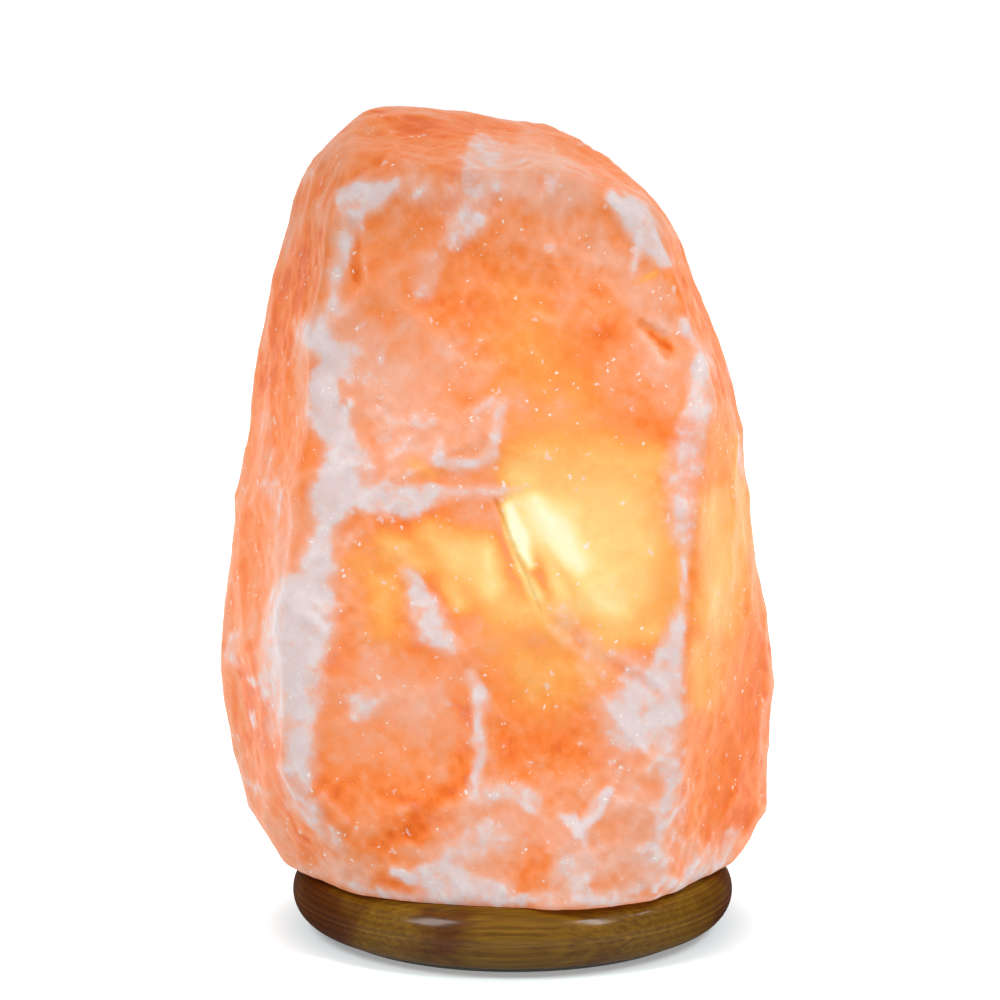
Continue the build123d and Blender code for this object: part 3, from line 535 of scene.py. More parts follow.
towards_eye = (EYE - skin) / np.linalg.norm(EYE - skin, axis=1, keepdims=True)
seen_faces = smooth_step(0.0, SEEN_SQUARELY, np.sum(skin_direction * towards_eye, axis=1))
no_relief = np.zeros(len(skin))
vein_places = on_pane(skin + 0.5 * wobble)
relief += VEIN_HEIGHT * paint(no_relief, vein_places, WHITE_VEINS, seen_faces, build_up=True)
relief += paint(no_relief, on_pane(skin), DENTS, seen_faces) * MM
pushed = skin_direction * relief[:, None]
pushed[:, 2] *= smooth_step(0.0, SEAT_MARGIN, skin[:, 2] - SEAT)
skin_rows = (skin + pushed).reshape(UPPER_ROWS + LOWER_ROWS, COLUMNS, 3)
print("relief from", round(relief.min() / MM, 2), "to", round(relief.max() / MM, 2), "mm")

# %% Round the foot, and find the edges that stand proud
FOOT_ROUNDING = 0.9 * MM
FOOT_REACH = 1.2 * MM
EDGE_HEIGHT = 0.25 * MM
NEIGHBOURS = (-3, -2, -1, 1, 2, 3)

foot_rounding = FOOT_ROUNDING * np.exp((SEAT - skin_rows[..., 2]) / FOOT_REACH)
outward = skin_rows[..., :2] / np.linalg.norm(skin_rows[..., :2], axis=-1, keepdims=True)
skin_rows[..., :2] -= outward * foot_rounding[..., None]
relief_rows = relief.reshape(skin_rows.shape[:2])
nearby = sum(np.roll(relief_rows, step, axis=axis) for step in NEIGHBOURS for axis in (0, 1))
nearby = nearby / (2 * len(NEIGHBOURS))
proud = np.clip((relief_rows - nearby).ravel() / EDGE_HEIGHT, -1, 1)
print("points that stand proud", int(np.sum(proud > 0.5)))

# %% Seat, bore and the finished rock
BORE_RADIUS = 21.0 * MM
BORE_END = 122.0 * MM
BORE_ROUNDING = 12.0 * MM
SEAT_ROWS = 10
WALL_ROWS = 18
ROUND_ROWS = 7
round_the_bore = level_rays * BORE_RADIUS + UP * SEAT
inwards = np.linspace(0, 1, SEAT_ROWS + 1)[1:, None, None]
seat_rows = skin_rows[-1] * (1 - inwards) + round_the_bore * inwards
wall_levels = np.linspace(SEAT, BORE_END - BORE_ROUNDING, WALL_ROWS + 1)[1:, None, None]
wall_rows = level_rays * BORE_RADIUS + wall_levels * UP
turn = np.linspace(0, math.pi / 2, ROUND_ROWS + 1)[1:, None, None]
round_radius = BORE_RADIUS - BORE_ROUNDING * (1 - np.cos(turn))
round_level = BORE_END - BORE_ROUNDING * (1 - np.sin(turn))
round_rows = level_rays * round_radius + round_level * UP
rock_rows = np.concatenate([skin_rows, seat_rows, wall_rows, round_rows])
rock_top = skin_rows[0].mean(axis=0)
salt_rock, rock_points = closed_mesh("salt_rock", rock_rows, rock_top, UP * BORE_END)
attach(salt_rock, "root")
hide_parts("salt_crystal")

# %% [markdown]
# ## Four numbers for each point of the rock
# Each point carries four numbers, kept in the mesh as attributes: how white it is; how deep its
# orange is, which is partly the rock's own colour and partly painted shade; how much painted glow
# stands in for the bulb's light coming through; and how bright the point is painted, which falls off
# away from the bulb and so paints shade on the reflected colour as well as on the glow. The strokes
# give them on the side that the camera sees. Noise gives them behind, with veins of the same kind,
# and loosens the edges of the strokes, because a vein in rock is never a clean line.

# %% Front and back
FRAYED_EDGE = 24.0 * MM
FRAYED_SHARE = 0.3
LOOSE_BENDS = ((7.0 * MM, 1.3 * MM, 81), (2.6 * MM, 0.7 * MM, 91))

is_inside = np.arange(len(rock_points)) > len(skin)
no_direction = np.zeros((np.sum(is_inside), 3))
point_directions = np.concatenate([[UP], skin_direction, no_direction])
sight = (rock_points - EYE) / np.linalg.norm(rock_points - EYE, axis=1, keepdims=True)
facing = -np.sum(point_directions * sight, axis=1)
frayed = FRAYED_SHARE * layered_noise(rock_points, FRAYED_EDGE, seed=141, layers=4)
in_front = smooth_step(-0.02, 0.2, facing + frayed)
loose = sum(reach * np.stack([noise(rock_points, size, seed + i) for i in range(2)], axis=1)
            for size, reach, seed in LOOSE_BENDS)
places = on_pane(rock_points)
stands_proud = np.zeros(len(rock_points))
stands_proud[1:1 + len(proud)] = proud
print("share of points in front", round(float(in_front.mean()), 2))

# %% White: veins and patches
VEIN_SPACING = 90.0 * MM
VEIN_THIN = 0.07
VEIN_SWELLS = 0.22
VEIN_SWELL_LENGTH = 38.0 * MM
VEIN_BREAKS = 42.0 * MM
PATCH = 30.0 * MM
PROUD_WHITENS = 0.3

swelling = smooth_step(-0.1, 0.5, layered_noise(rock_points, VEIN_SWELL_LENGTH, seed=151, layers=2))
vein_lines = np.abs(layered_noise(rock_points, VEIN_SPACING, seed=111, layers=5))
vein_shown = smooth_step(-0.25, 0.2, layered_noise(rock_points, VEIN_BREAKS, seed=161, layers=2))
vein_width = VEIN_THIN + VEIN_SWELLS * swelling
veins_behind = (1 - smooth_step(0.0, 1.0, vein_lines / vein_width)) * vein_shown
patches_behind = smooth_step(0.12, 0.75, layered_noise(rock_points, PATCH, seed=121, layers=4))
white_behind = np.maximum(0.9 * veins_behind, 0.85 * patches_behind)
white = paint(white_behind * (1 - in_front), places + loose, WHITE_VEINS, in_front, build_up=True)
print("mean white behind", round(float(white_behind.mean()), 2))

# %% Ember: how deep the orange is, partly painted shade
CLOUD_SIZE = 22.0 * MM
MOTTLE_SIZE = 6.0 * MM
EMBER_MIDDLE = 0.52
EMBER_CLOUDS = 0.55
EMBER_MOTTLE = 0.22
HOLLOW_PAINTED_SHADE = 0.25

clouds = layered_noise(rock_points, CLOUD_SIZE, seed=101, layers=4)
mottle = EMBER_MOTTLE * layered_noise(rock_points, MOTTLE_SIZE, seed=131, layers=3)
cloudy_ember = EMBER_MIDDLE + EMBER_CLOUDS * clouds
ember = paint(cloudy_ember, places + 2.0 * loose, EMBER_AND_SHADE_PLACES, 0.85 * in_front) + mottle
# Hollows are painted a deeper, darker orange: painted shade.
ember += HOLLOW_PAINTED_SHADE * np.maximum(-stands_proud, 0)
print("mean ember", round(float(ember.mean()), 2))

# %% Glow and light: the bulb's light, and painted light and shade
BULB_MIDDLE = np.array([0.0, 0.0, 84.0]) * MM
LIT_MIDDLE = np.array([18.0, 0.0, 92.0]) * MM
UPRIGHT_SHARE = np.array([1.0, 1.0, 0.7])
GLOW_CLOUD = 44.0 * MM
GLOW_DRIFT = 20.0 * MM
GLOW_BEHIND = 0.62
GLOW_FULL = 40.0 * MM
GLOW_GONE = 80.0 * MM
LIGHT_FULL = 75.0 * MM
LIGHT_LEAST_AT = 130.0 * MM
LIGHT_LOST = 0.3
PAINTED_EDGE_LIGHT = 0.08

from_bulb = np.linalg.norm((rock_points - BULB_MIDDLE) * UPRIGHT_SHARE, axis=1)
from_bulb += GLOW_DRIFT * layered_noise(rock_points, GLOW_CLOUD, seed=171)
glow_behind = GLOW_BEHIND * (1 - smooth_step(GLOW_FULL, GLOW_GONE, from_bulb)) * (1 - 0.5 * white_behind)
glow = paint(glow_behind * (1 - in_front), places + 0.5 * loose, PAINTED_GLOW_PLACES, in_front)
white += PROUD_WHITENS * np.maximum(stands_proud, 0) * (1 - glow)
# Painted light and shade: the light number dims the whole colour of the salt, reflected and emitted alike,
# with distance from a point a little right of the bulb, so the top and the foot are darker.
from_lit = np.linalg.norm(rock_points - LIT_MIDDLE, axis=1)
light = 1 - LIGHT_LOST * smooth_step(LIGHT_FULL, LIGHT_LEAST_AT, from_lit)
# Proud edges are painted a little brighter and hollows a little darker: painted highlight and shade.
light *= 1 + PAINTED_EDGE_LIGHT * stands_proud
print("mean glow", round(float(glow.mean()), 2))

# %% The bore's own numbers, and the attributes
BORE_LIGHTS_UP = 60.0 * MM
depth_in_bore = smooth_step(0.0, BORE_LIGHTS_UP, rock_points[:, 2] - SEAT)
# Inside the bore the glow is painted light, brighter higher up, for the bulb's light on its wall.
rock_numbers = {
    "white": np.where(is_inside, 0.5 * veins_behind, white),
    "ember": np.where(is_inside, 0.55 + 0.5 * clouds, ember),
    "glow": np.where(is_inside, 0.35 + 0.5 * depth_in_bore, glow),
    "light": light,
}
for name, values in rock_numbers.items():
    attribute = salt_rock.data.attributes.new(name, "FLOAT", "POINT")
    attribute.data.foreach_set("value", np.clip(values, 0, 1.1).astype(np.float32))
    print(name, "from", round(float(values.min()), 2), "to", round(float(values.max()), 2))

# %% [markdown]
# ## Finishes are made of nodes
# Every finish is a small tree of nodes. One helper turns a colour as a painter writes it into the
# linear numbers that Blender counts with, and one adds a node. Sums and layers of colour come up in
# several finishes, so each has a function that chains the nodes it takes.

# %% Node helpers
SMOOTH = {"interpolation_type": "SMOOTHSTEP"}
BLACK = (0.0, 0.0, 0.0, 1.0)
WHITE = (1.0, 1.0, 1.0, 1.0)


def linear(hex_colour):
    """An sRGB colour such as "ff8040" as linear red, green, blue and alpha."""
    parts = [int(hex_colour[i:i + 2], 16) / 255 for i in (0, 2, 4)]
    return (*[p / 12.92 if p <= 0.04045 else ((p + 0.055) / 1.055) ** 2.4 for p in parts], 1.0)


def add(tree, kind, settings=None, stops=(), **inputs):
    """Adds a node. Settings are its properties, stops are a colour ramp's (place, colour) pairs from
    the low end up, and each input is a value, an output, or a node for its first output."""
    node = tree.nodes.new(kind)
    for key, value in (settings or {}).items():
        setattr(node, key, value)
    for _ in stops[2:]:
        node.color_ramp.elements.new(0.5)
    for point, (place, colour) in zip(node.color_ramp.elements if stops else (), stops):
        point.position = place
        point.color = linear(colour)
    for key, value in inputs.items():
        name = int(key[1:]) if key[0] == "_" else key.replace("_", " ")
        source = value.outputs[0] if isinstance(value, bpy.types.Node) else value
        if isinstance(source, bpy.types.NodeSocket):
            tree.links.new(source, node.inputs[name])
        else:
            node.inputs[name].default_value = source
    return node


def weighted_sum(tree, *terms, start=0.0, clamp=False):
    """The start plus each value times its weight, one after the other."""
    total = start
    for value, weight in terms:
        total = add(tree, "ShaderNodeMath", {"operation": "MULTIPLY_ADD"}, _0=value, _1=weight, _2=total)
    total.use_clamp = clamp
    return total


def covered(tree, colour, *layers):
    """A colour under layers: each is the share that it covers, and its own colour."""
    for share, layer in layers:
        mix = add(tree, "ShaderNodeMix", {"data_type": "RGBA"}, _0=share, _6=colour, _7=layer)
        colour = mix.outputs[2]
    return colour


def finish(name):
    """A new material with an empty tree."""
    made = bpy.data.materials.new(name)
    made.use_nodes = True
    made.node_tree.nodes.clear()
    return made, made.node_tree


def surface(made, **inputs):
    """Ends a finish with one Principled shader."""
    shader = add(made.node_tree, "ShaderNodeBsdfPrincipled", **inputs)
    add(made.node_tree, "ShaderNodeOutputMaterial", Surface=shader)
    print(made.name, len(made.node_tree.nodes), "nodes")


# %% [markdown]
# ## Rock salt
# Rock salt is clear, with an index of refraction of 1.54, and is coloured by iron between its
# grains. Lit from inside it glows most where it is thin and clear, and its white veins, full of tiny
# bubbles, stop the light. A real volume would need thousands of samples, so the light that comes
# through is an emission that the four numbers of each point steer. The rest of the colour is
# ordinary reflection, so that the broken faces still show their shape. All of it swings with three
# sizes of noise and with a mosaic of flat patches, as the crystals in the rock do.

# %% Patterns in the salt
GRAIN = 10 / 7 * MM
LOBE = 100 / 23 * MM
CLOUD = 20 / 3 * MM
MOSAIC_PATCH = 3.2 * MM
MOSAIC_SHARE = 0.16
MOSAIC_BEND = 6.0 * MM

rock_salt, tree = finish("rock_salt_broken")
numbers = {name: add(tree, "ShaderNodeAttribute", {"attribute_name": name}).outputs["Fac"]
           for name in rock_numbers}
salt_place = add(tree, "ShaderNodeTexCoord").outputs["Object"]
grain = add(tree, "ShaderNodeTexNoise", Vector=salt_place, Scale=1 / GRAIN, Detail=4.0, Roughness=0.6)
cloud = add(tree, "ShaderNodeTexNoise", Vector=salt_place, Scale=1 / CLOUD, Detail=5.0, Roughness=0.6)
lobes = add(tree, "ShaderNodeTexNoise", Vector=salt_place, Scale=1 / LOBE, Detail=2.5, Roughness=0.55)
cloud_swing = weighted_sum(tree, (cloud, 1.0), start=-0.5)
lobe_swing = weighted_sum(tree, (lobes, 1.0), start=-0.5)
swing = weighted_sum(tree, (grain, 0.5), (cloud_swing, 1.2), start=-0.25)

bend = add(tree, "ShaderNodeVectorMath", {"operation": "SCALE"}, _0=cloud.outputs["Color"], Scale=MOSAIC_BEND)
bent_place = add(tree, "ShaderNodeVectorMath", {"operation": "ADD"}, _0=salt_place, _1=bend)
mosaic = add(tree, "ShaderNodeTexVoronoi", {"distance": "MANHATTAN"}, Vector=bent_place,
             Scale=1 / MOSAIC_PATCH)
chance = add(tree, "ShaderNodeSeparateColor", Color=mosaic.outputs["Color"])
print("patterns in the salt", len(tree.nodes), "nodes")

# %% The salt's colours, lit and unlit
ember_here = weighted_sum(tree, (numbers["ember"], 1.0), (swing, 0.6), (chance, MOSAIC_SHARE),
                          start=-0.5 * MOSAIC_SHARE, clamp=True)
glow_here = weighted_sum(tree, (numbers["glow"], 1.0), (swing, 0.2), clamp=True)
body = add(tree, "ShaderNodeValToRGB", Fac=ember_here, stops=[
    (0.0, "efb49c"), (0.3, "f4a078"), (0.6, "f98e50"), (0.82, "fa7f36"), (1.0, "f06c20")])
light_through = add(tree, "ShaderNodeValToRGB", Fac=glow_here, stops=[
    (0.0, "fc8c3c"), (0.2, "fc9d48"), (0.4, "fcb666"), (0.6, "fdd182"), (0.78, "fee6a2"), (1.0, "fffad4")])
glow_share = add(tree, "ShaderNodeMapRange", SMOOTH, Value=glow_here, From_Min=0.0, From_Max=0.3)

veil = add(tree, "ShaderNodeMapRange", SMOOTH, From_Min=0.0, From_Max=0.8, To_Max=0.66,
           Value=weighted_sum(tree, (numbers["white"], 1.0), (swing, 0.7)))
core = add(tree, "ShaderNodeMapRange", SMOOTH, From_Min=0.4, From_Max=1.0, To_Max=0.92,
           Value=weighted_sum(tree, (numbers["white"], 1.0), (lobe_swing, 1.5)))
vein = add(tree, "ShaderNodeValToRGB", Fac=weighted_sum(tree, (swing, 0.8), start=0.5), stops=[
    (0.3, "e2c6c0"), (0.5, "dfcfcf"), (0.75, "e8dedd")])
print("colours of the salt", len(tree.nodes), "nodes")


# %% Specks, and the finished salt
def specks(spacing, share, where, strength):
    """Angular specks about a spacing apart: cells of random size, more of them where noise is high."""
    cells = add(tree, "ShaderNodeTexVoronoi", {"distance": "MANHATTAN"}, Vector=bent_place, Scale=1 / spacing)
    luck = add(tree, "ShaderNodeSeparateColor", Color=cells.outputs["Color"]).outputs[1]
    size = add(tree, "ShaderNodeMapRange", Value=weighted_sum(tree, (luck, 1.0), (where, 1.8)),
               From_Min=1 - share, From_Max=1.25, To_Min=0.0, To_Max=0.5)
    depth = weighted_sum(tree, (cells.outputs["Distance"], -1.0), start=size)
    return add(tree, "ShaderNodeMapRange", Value=depth, From_Min=-0.02, From_Max=0.05, To_Max=strength)


# Half of every colour of the salt is emitted: painted glow that stands in for the bulb's light.
EMITTED = 0.5
chip_share = specks(3.0 * MM, 0.42, cloud_swing, 0.5)
# Glints are painted highlights: tiny pale specks in the colour, not reflections of the lamps.
painted_glint_share = specks(1.6 * MM, 0.24, lobe_swing, 0.8)
salt_colour = covered(tree, body, (glow_share, light_through), (veil, linear("edbfae")), (core, vein),
                      (chip_share, linear("efd3c9")), (painted_glint_share, linear("f8e8e0")))
# Painted light and shade: the light number scales the reflected and the emitted colour alike.
painted_lit_colour = add(tree, "ShaderNodeVectorMath", {"operation": "SCALE"}, _0=salt_colour,
                  Scale=numbers["light"])
surface(rock_salt, Base_Color=covered(tree, painted_lit_colour, (EMITTED, BLACK)),
        Emission_Color=covered(tree, BLACK, (EMITTED, painted_lit_colour)), Emission_Strength=1.0,
        IOR=1.54, Specular_IOR_Level=0.1, Roughness=0.42,
        Normal=add(tree, "ShaderNodeBump", Height=swing, Strength=0.35, Distance=0.6 * MM))
salt_rock.data.materials.append(rock_salt)

# %% [markdown]
# ## Turned and stained wood
# The base was turned from a plank that lies flat, so its grain runs across. The lathe left fine rings
# all round the edge, and the dark stain sits in them and in the grain. End grain drinks more stain
# and more lacquer, so the sides are darker, redder and less glossy. Soaked wood has nearly the index
# of the lacquer, so only the lacquer reflects. A photograph of wood would do, but noise that is drawn
# out along the grain, and noise that only changes with radius and height for the rings, follow the
# real solid, so that the streaks join up all round the edge.

# %% Stained wood: grain, rings and end grain
STREAK_WIDTH = 1.1 * MM
STREAK_LENGTH = 34.0 * MM
RING_WIDTH = 0.7 * MM
STAIN_SPOT = 30.0 * MM
END_GRAIN_FROM = 24.0 * MM
END_GRAIN_FULL = 54.0 * MM
PATTERN_RANGE = {"From_Min": 0.3, "From_Max": 0.7}


def pattern(tree, size, detail=4.0):
    """Noise with features of that size in metres along X, Y and Z, from about 0.3 to 0.7."""
    place = add(tree, "ShaderNodeTexCoord").outputs["Object"]
    scaled = add(tree, "ShaderNodeMapping", Vector=place, Scale=[1 / side for side in size])
    return add(tree, "ShaderNodeTexNoise", Vector=scaled, Scale=1.0, Detail=detail, Roughness=0.6)


stained_wood, tree = finish("beech_turned_stained_lacquered")
grain_streaks = pattern(tree, (STREAK_LENGTH, STREAK_WIDTH, STREAK_WIDTH), 5.0)
spots = pattern(tree, (STAIN_SPOT, STAIN_SPOT, STAIN_SPOT), 2.0)
wood_place = add(tree, "ShaderNodeTexCoord").outputs["Object"]
x, y, z = add(tree, "ShaderNodeSeparateXYZ", Vector=wood_place).outputs
level_place = add(tree, "ShaderNodeCombineXYZ", X=x, Y=y)
radius = add(tree, "ShaderNodeVectorMath", {"operation": "LENGTH"}, _0=level_place).outputs["Value"]
ring_place = add(tree, "ShaderNodeCombineXYZ", X=radius, Z=z)
rings = add(tree, "ShaderNodeTexNoise", Vector=ring_place, Scale=1 / RING_WIDTH, Detail=3.0, Roughness=0.6)
from_middle = add(tree, "ShaderNodeMath", {"operation": "ABSOLUTE"}, _0=x)
end_grain = add(tree, "ShaderNodeMapRange", SMOOTH, Value=from_middle,
                From_Min=END_GRAIN_FROM, From_Max=END_GRAIN_FULL)
print("patterns in the wood", len(tree.nodes), "nodes")

# %% Stained wood: colour and lacquer
STAIN_SOAKS_IN = 0.26
ring_share = add(tree, "ShaderNodeMapRange", Value=end_grain, To_Min=0.35, To_Max=0.85)
streaks = add(tree, "ShaderNodeMix", {"data_type": "FLOAT"}, _0=ring_share, _2=grain_streaks, _3=rings)
streak_colour = add(tree, "ShaderNodeValToRGB", Fac=streaks, stops=[
    (0.28, "4a2f08"), (0.45, "654610"), (0.58, "7a5818"), (0.74, "90702c")])
stain_colour = add(tree, "ShaderNodeValToRGB", stops=[(0.12, "984a2c"), (0.28, "b87e4e"), (0.44, "fff6c4")],
                   Fac=weighted_sum(tree, (end_grain, -STAIN_SOAKS_IN), start=spots))
wood_colour = add(tree, "ShaderNodeMix", {"data_type": "RGBA", "blend_type": "MULTIPLY"}, _0=0.9,
                  _6=streak_colour, _7=stain_colour).outputs[2]
surface(stained_wood, Base_Color=wood_colour, IOR=1.5, Specular_IOR_Level=0.0,
        Coat_Roughness=0.17, Coat_IOR=1.5,
        Coat_Weight=add(tree, "ShaderNodeMapRange", Value=end_grain, To_Min=0.3, To_Max=0.04),
        Roughness=add(tree, "ShaderNodeMapRange", Value=streaks, **PATTERN_RANGE, To_Min=0.5, To_Max=0.36),
        Normal=add(tree, "ShaderNodeBump", Height=streaks, Distance=0.08 * MM, Strength=0.25))

# %% [markdown]
# ## Felt under the base
# Pressed wool felt is a mat of short fibres with no weave. It looks soft because loose fibres catch
# light at its edge, which is what sheen is for. Its fibres are about 0.03 mm thick, too fine to show,
# so they are drawn as coarse as 0.5 mm.

# %% Felt finish
FIBRE = 0.5 * MM
felt, tree = finish("wool_pressed_felt")
fibres = pattern(tree, (FIBRE, FIBRE, FIBRE), 6.0)
surface(felt, Roughness=0.95, Sheen_Weight=0.4, Sheen_Roughness=0.5,
        Base_Color=add(tree, "ShaderNodeValToRGB", Fac=fibres, stops=[(0.3, "8a847c"), (0.7, "b0a99f")]),
        Normal=add(tree, "ShaderNodeBump", Height=fibres, Distance=0.3 * MM, Strength=0.6))

# %% [markdown]
# ## Metals
# Every metal in the lamp holder is bare or plated sheet or wire. What tells them apart is the colour
# of the reflection, how rough it is, and the marks of the tool: drawn sheet has fine lines along the
# way it was rolled, and plating is slightly cloudy. The metals differ in numbers only, so one
# function makes them all.

# %% Metal finishes
def metal(name, dark, bright, roughness, marks, depth):
    """Bare metal: marks are the size of its tool marks along X, Y and Z, depth is how deep they
    are, and its colour and roughness wander a little with them."""
    made, tree = finish(name)
    tool_marks = pattern(tree, marks)
    surface(made, Metallic=1.0,
            Base_Color=add(tree, "ShaderNodeValToRGB", Fac=tool_marks, stops=[(0.3, dark), (0.7, bright)]),
            Roughness=add(tree, "ShaderNodeMapRange", Value=tool_marks, **PATTERN_RANGE,
                          To_Min=roughness * 1.2, To_Max=roughness * 0.8),
            Normal=add(tree, "ShaderNodeBump", Height=tool_marks, Distance=depth, Strength=0.3))
    return made


ROLLED_UPWARDS = (0.25 * MM, 0.25 * MM, 6.0 * MM)
DRAWN_UPWARDS = (0.1 * MM, 0.1 * MM, 2.0 * MM)
CLOUDY = (1.5 * MM, 1.5 * MM, 1.5 * MM)
CAST = (0.8 * MM, 0.8 * MM, 0.8 * MM)
zinc_screw = metal("steel_zinc_plated", "9fa5a8", "c8cdd0", 0.34, CLOUDY, 0.02 * MM)
brass = metal("brass_rolled_sheet", "b08a3c", "dcb862", 0.3, ROLLED_UPWARDS, 0.03 * MM)
spring_steel = metal("spring_steel_rolled_strip", "7b7f84", "a3a7ab", 0.3, ROLLED_UPWARDS, 0.03 * MM)
cap_metal = metal("brass_nickel_plated_cap", "b3b0a8", "d6d3cb", 0.26, CLOUDY, 0.02 * MM)
solder = metal("tin_solder_cast", "8d8f90", "b9babb", 0.48, CAST, 0.1 * MM)
wire = metal("nickel_drawn_wire", "a19c93", "c5c0b6", 0.36, DRAWN_UPWARDS, 0.01 * MM)

# %% [markdown]
# ## Plastics, cement and glass
# The holder is moulded from a dark thermoset, which is hard, even and half matt, with a faint orange
# peel from the mould. Its insert is a pale filled resin, the plugs are nylon, and the bulb's cement
# is fired powder. The ring round the tip is black glass, and the bulb itself is clear: only clear
# glass shows its stem and its filament.

# %% Moulded, fired and blown finishes
def moulded(name, dark, bright, roughness, grain, depth, ior):
    """A moulded or fired material: its grain gives a slight change of colour and a low relief."""
    made, tree = finish(name)
    peel = pattern(tree, (grain, grain, grain))
    surface(made, IOR=ior,
            Base_Color=add(tree, "ShaderNodeValToRGB", Fac=peel, stops=[(0.3, dark), (0.7, bright)]),
            Roughness=add(tree, "ShaderNodeMapRange", Value=peel, **PATTERN_RANGE,
                          To_Min=roughness * 0.9, To_Max=roughness * 1.1),
            Normal=add(tree, "ShaderNodeBump", Height=peel, Distance=depth, Strength=0.25))
    return made


def clear_glass(name, tint, waviness, ior):
    """Blown or drawn glass: light passes through it, and its surface is very slightly wavy."""
    made, tree = finish(name)
    waves = pattern(tree, (waviness, waviness, waviness), 2.0)
    surface(made, Base_Color=linear(tint), Transmission_Weight=1.0, IOR=ior,
            Roughness=add(tree, "ShaderNodeMapRange", Value=waves, **PATTERN_RANGE, To_Min=0.01, To_Max=0.03),
            Normal=add(tree, "ShaderNodeBump", Height=waves, Distance=0.05 * MM, Strength=0.15))
    return made


holder_plastic = moulded("thermoset_dark_moulded", "15130f", "262320", 0.38, 0.8 * MM, 0.03 * MM, 1.6)
insert_plastic = moulded("thermoset_pale_filled", "cfc9bb", "e4dfd2", 0.5, 0.5 * MM, 0.04 * MM, 1.55)
plug_plastic = moulded("nylon_moulded", "c6c3ba", "d9d6cd", 0.45, 1.0 * MM, 0.03 * MM, 1.53)
cement = moulded("lamp_cement_fired", "cdc4ae", "e3dcc8", 0.9, 0.4 * MM, 0.08 * MM, 1.5)
black_glass = moulded("glass_black_pressed", "060607", "121214", 0.12, 1.5 * MM, 0.02 * MM, 1.52)
bulb_glass = clear_glass("glass_clear_blown", "fdfefd", 6.0 * MM, 1.5)
stem_glass = clear_glass("glass_lead_drawn", "f2f6f0", 2.0 * MM, 1.56)

# %% [markdown]
# ## The lit filament
# A tungsten filament at about 2500 degrees gives a warm yellow light. Its coils are too fine to see,
# but they make it a little darker between the turns. The strength of the light is the same all over,
# so it is set on the shader itself.

# %% Filament finish
FILAMENT_LIGHT = 14.0
COIL = 0.15 * MM
filament, tree = finish("tungsten_coiled_lit")
coils = pattern(tree, (COIL, COIL, COIL), 2.0)
surface(filament, Base_Color=linear("3c3834"), Metallic=1.0, Roughness=0.5, Emission_Strength=FILAMENT_LIGHT,
        Emission_Color=add(tree, "ShaderNodeValToRGB", Fac=coils, stops=[(0.35, "ffa544"), (0.65, "ffd28a")]))

# %% Each solid gets its finish
finishes = {
    "stained_wood": stained_wood, "felt": felt, "zinc_screw": zinc_screw, "plug_plastic": plug_plastic,
    "holder_plastic": holder_plastic, "insert_plastic": insert_plastic, "brass": brass,
    "spring_steel": spring_steel, "cap_metal": cap_metal, "black_glass": black_glass, "solder": solder,
    "cement": cement, "bulb_glass": bulb_glass, "stem_glass": stem_glass, "wire": wire, "filament": filament,
    "rock_salt": rock_salt,
}
for node in frame["nodes"].values():
    for slot in node.material_slots:
        slot.material = finishes[slot.material.name.split(".")[0]]
print("finishes", len(finishes))

# %% [markdown]
# ## Floor, light and shadow
# The lamp stands on a plain white floor before a white background. The camera sees the world as
# white, and so do gloss and glass, but the light that falls on the lamp is plain and soft: a large
# lamp at the left, two smaller ones at the right that give the lacquer its two bright spots, and a
# weaker sky. The floor adds light of its own, seen directly and in gloss and glass: weak near the
# lamp, so that the shadow shows there, and full 86 mm from the lamp's axis, which paints the floor
# white over any shadow farther off. Its paper is tinted a little blue so that the salt's orange
# light on it looks grey. It follows the lamp holder down, so that a holder drawn out of the rock
# from below hangs over the floor and isn't hidden in it.

# %% World
SKY_STRENGTH = 0.42


def seen_plainly(tree):
    """1 on rays from the camera, off gloss and through glass, and 0 on the light that falls on things."""
    path = add(tree, "ShaderNodeLightPath")
    seen = path.outputs["Is Camera Ray"]
    for kind in ("Is Glossy Ray", "Is Transmission Ray"):
        seen = add(tree, "ShaderNodeMath", {"operation": "MAXIMUM"}, _0=seen, _1=path.outputs[kind])
    return seen


scene = bpy.context.scene
scene.view_settings.view_transform = "Standard"
world = bpy.data.worlds.new("white_room")
world.use_nodes = True
world.node_tree.nodes.clear()
scene.world = world
sky_strength = add(world.node_tree, "ShaderNodeMapRange", Value=seen_plainly(world.node_tree),
                   To_Min=SKY_STRENGTH, To_Max=1.0)
sky = add(world.node_tree, "ShaderNodeBackground", Color=WHITE, Strength=sky_strength)
add(world.node_tree, "ShaderNodeOutputWorld", Surface=sky)
print(world.name, len(world.node_tree.nodes), "nodes")

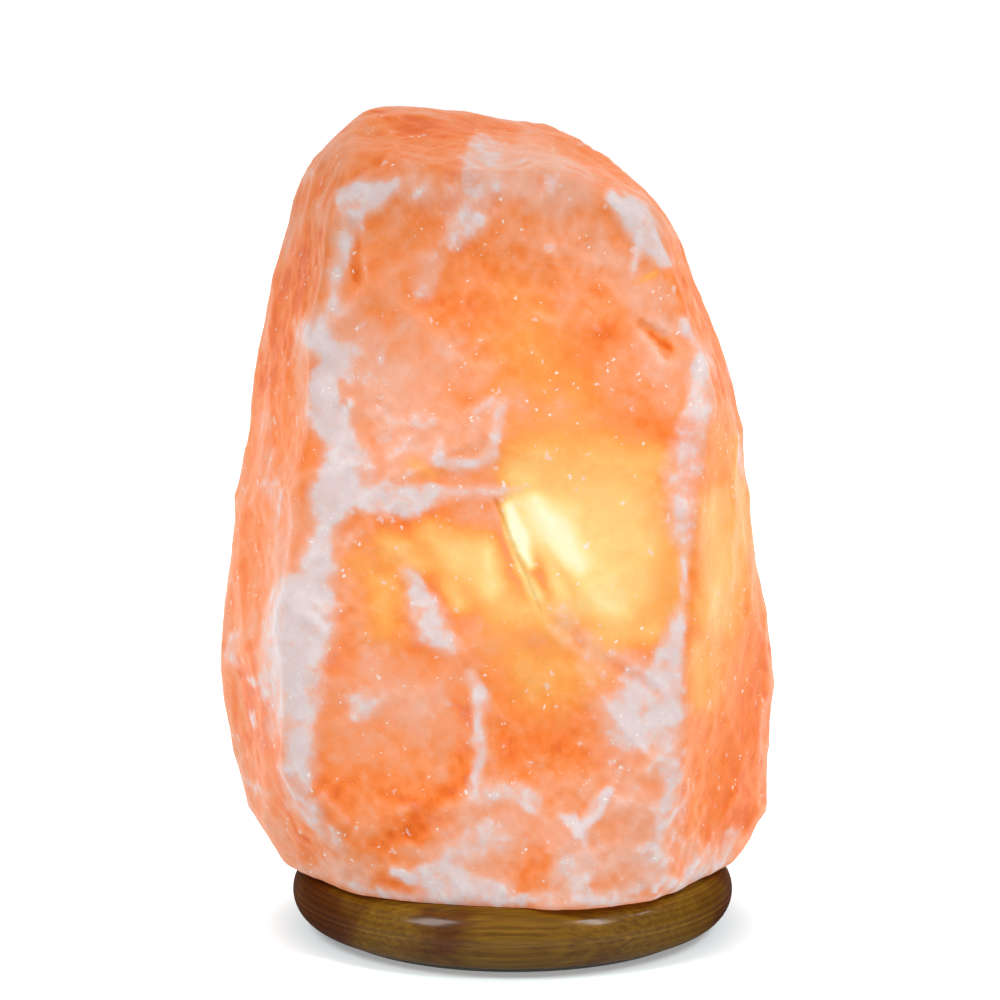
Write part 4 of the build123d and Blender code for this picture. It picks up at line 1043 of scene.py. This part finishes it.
# %% Floor
FLOOR_SIZE = 6.0
NEAR_FLOOR = 0.052
FAR_FLOOR = 0.086
OWN_LIGHT = 0.3
half = FLOOR_SIZE / 2
floor_corners = [(-half, -half, 0), (half, -half, 0), (half, half, 0), (-half, half, 0)]
floor_mesh = bpy.data.meshes.new("floor")
floor_mesh.from_pydata(floor_corners, [], [(0, 1, 2, 3)])
floor = bpy.data.objects.new("floor", floor_mesh)
scene.collection.objects.link(floor)
white_paper, tree = finish("white_paper")
floor_place = add(tree, "ShaderNodeTexCoord").outputs["Object"]
from_lamp = add(tree, "ShaderNodeVectorMath", {"operation": "LENGTH"}, _0=floor_place).outputs["Value"]
# Painted light: the floor's own light is weak near the lamp and full farther out, so only the shadow close to
# the base stays.
whitening = add(tree, "ShaderNodeMapRange", SMOOTH, Value=from_lamp,
                From_Min=NEAR_FLOOR, From_Max=FAR_FLOOR, To_Min=OWN_LIGHT, To_Max=1.0)
own_light = add(tree, "ShaderNodeMath", {"operation": "MULTIPLY"}, _0=seen_plainly(tree), _1=whitening)
# The paper is tinted a little blue to cancel the salt's orange light on it.
paper = add(tree, "ShaderNodeBsdfDiffuse", Color=linear("cfd8db"))
floor_glow = add(tree, "ShaderNodeEmission", Color=WHITE, Strength=own_light)
both = add(tree, "ShaderNodeAddShader", _0=paper, _1=floor_glow)
add(tree, "ShaderNodeOutputMaterial", Surface=both)
floor_mesh.materials.append(white_paper)
floor.parent = frame["bodies"]["lamp_unit"]
print(white_paper.name, len(tree.nodes), "nodes")

# %% Lamps
AIMED_AT = np.array([0.0, 0.0, 0.08])


def soft_lamp(name, place, width, height, power):
    """A lamp like a softbox of that width and height, which faces the middle of the object."""
    data = bpy.data.lights.new(name, "AREA")
    data.shape = "RECTANGLE"
    data.size = width
    data.size_y = height
    data.energy = power
    lamp = bpy.data.objects.new(name, data)
    lamp.location = place
    away = np.array(place) - AIMED_AT
    leaning = math.acos(away[2] / np.linalg.norm(away))
    lamp.rotation_euler = (leaning, 0, math.atan2(away[1], away[0]) + math.pi / 2)
    scene.collection.objects.link(lamp)
    print(name, power, "watts")


soft_lamp("left_softbox", (-0.80, -0.60, 1.10), 0.36, 0.6, 12.0)
soft_lamp("right_softbox", (0.80, -0.60, 1.10), 0.2, 0.5, 9.0)
soft_lamp("side_softbox", (1.0, -0.06, 1.10), 0.16, 0.4, 3.5)
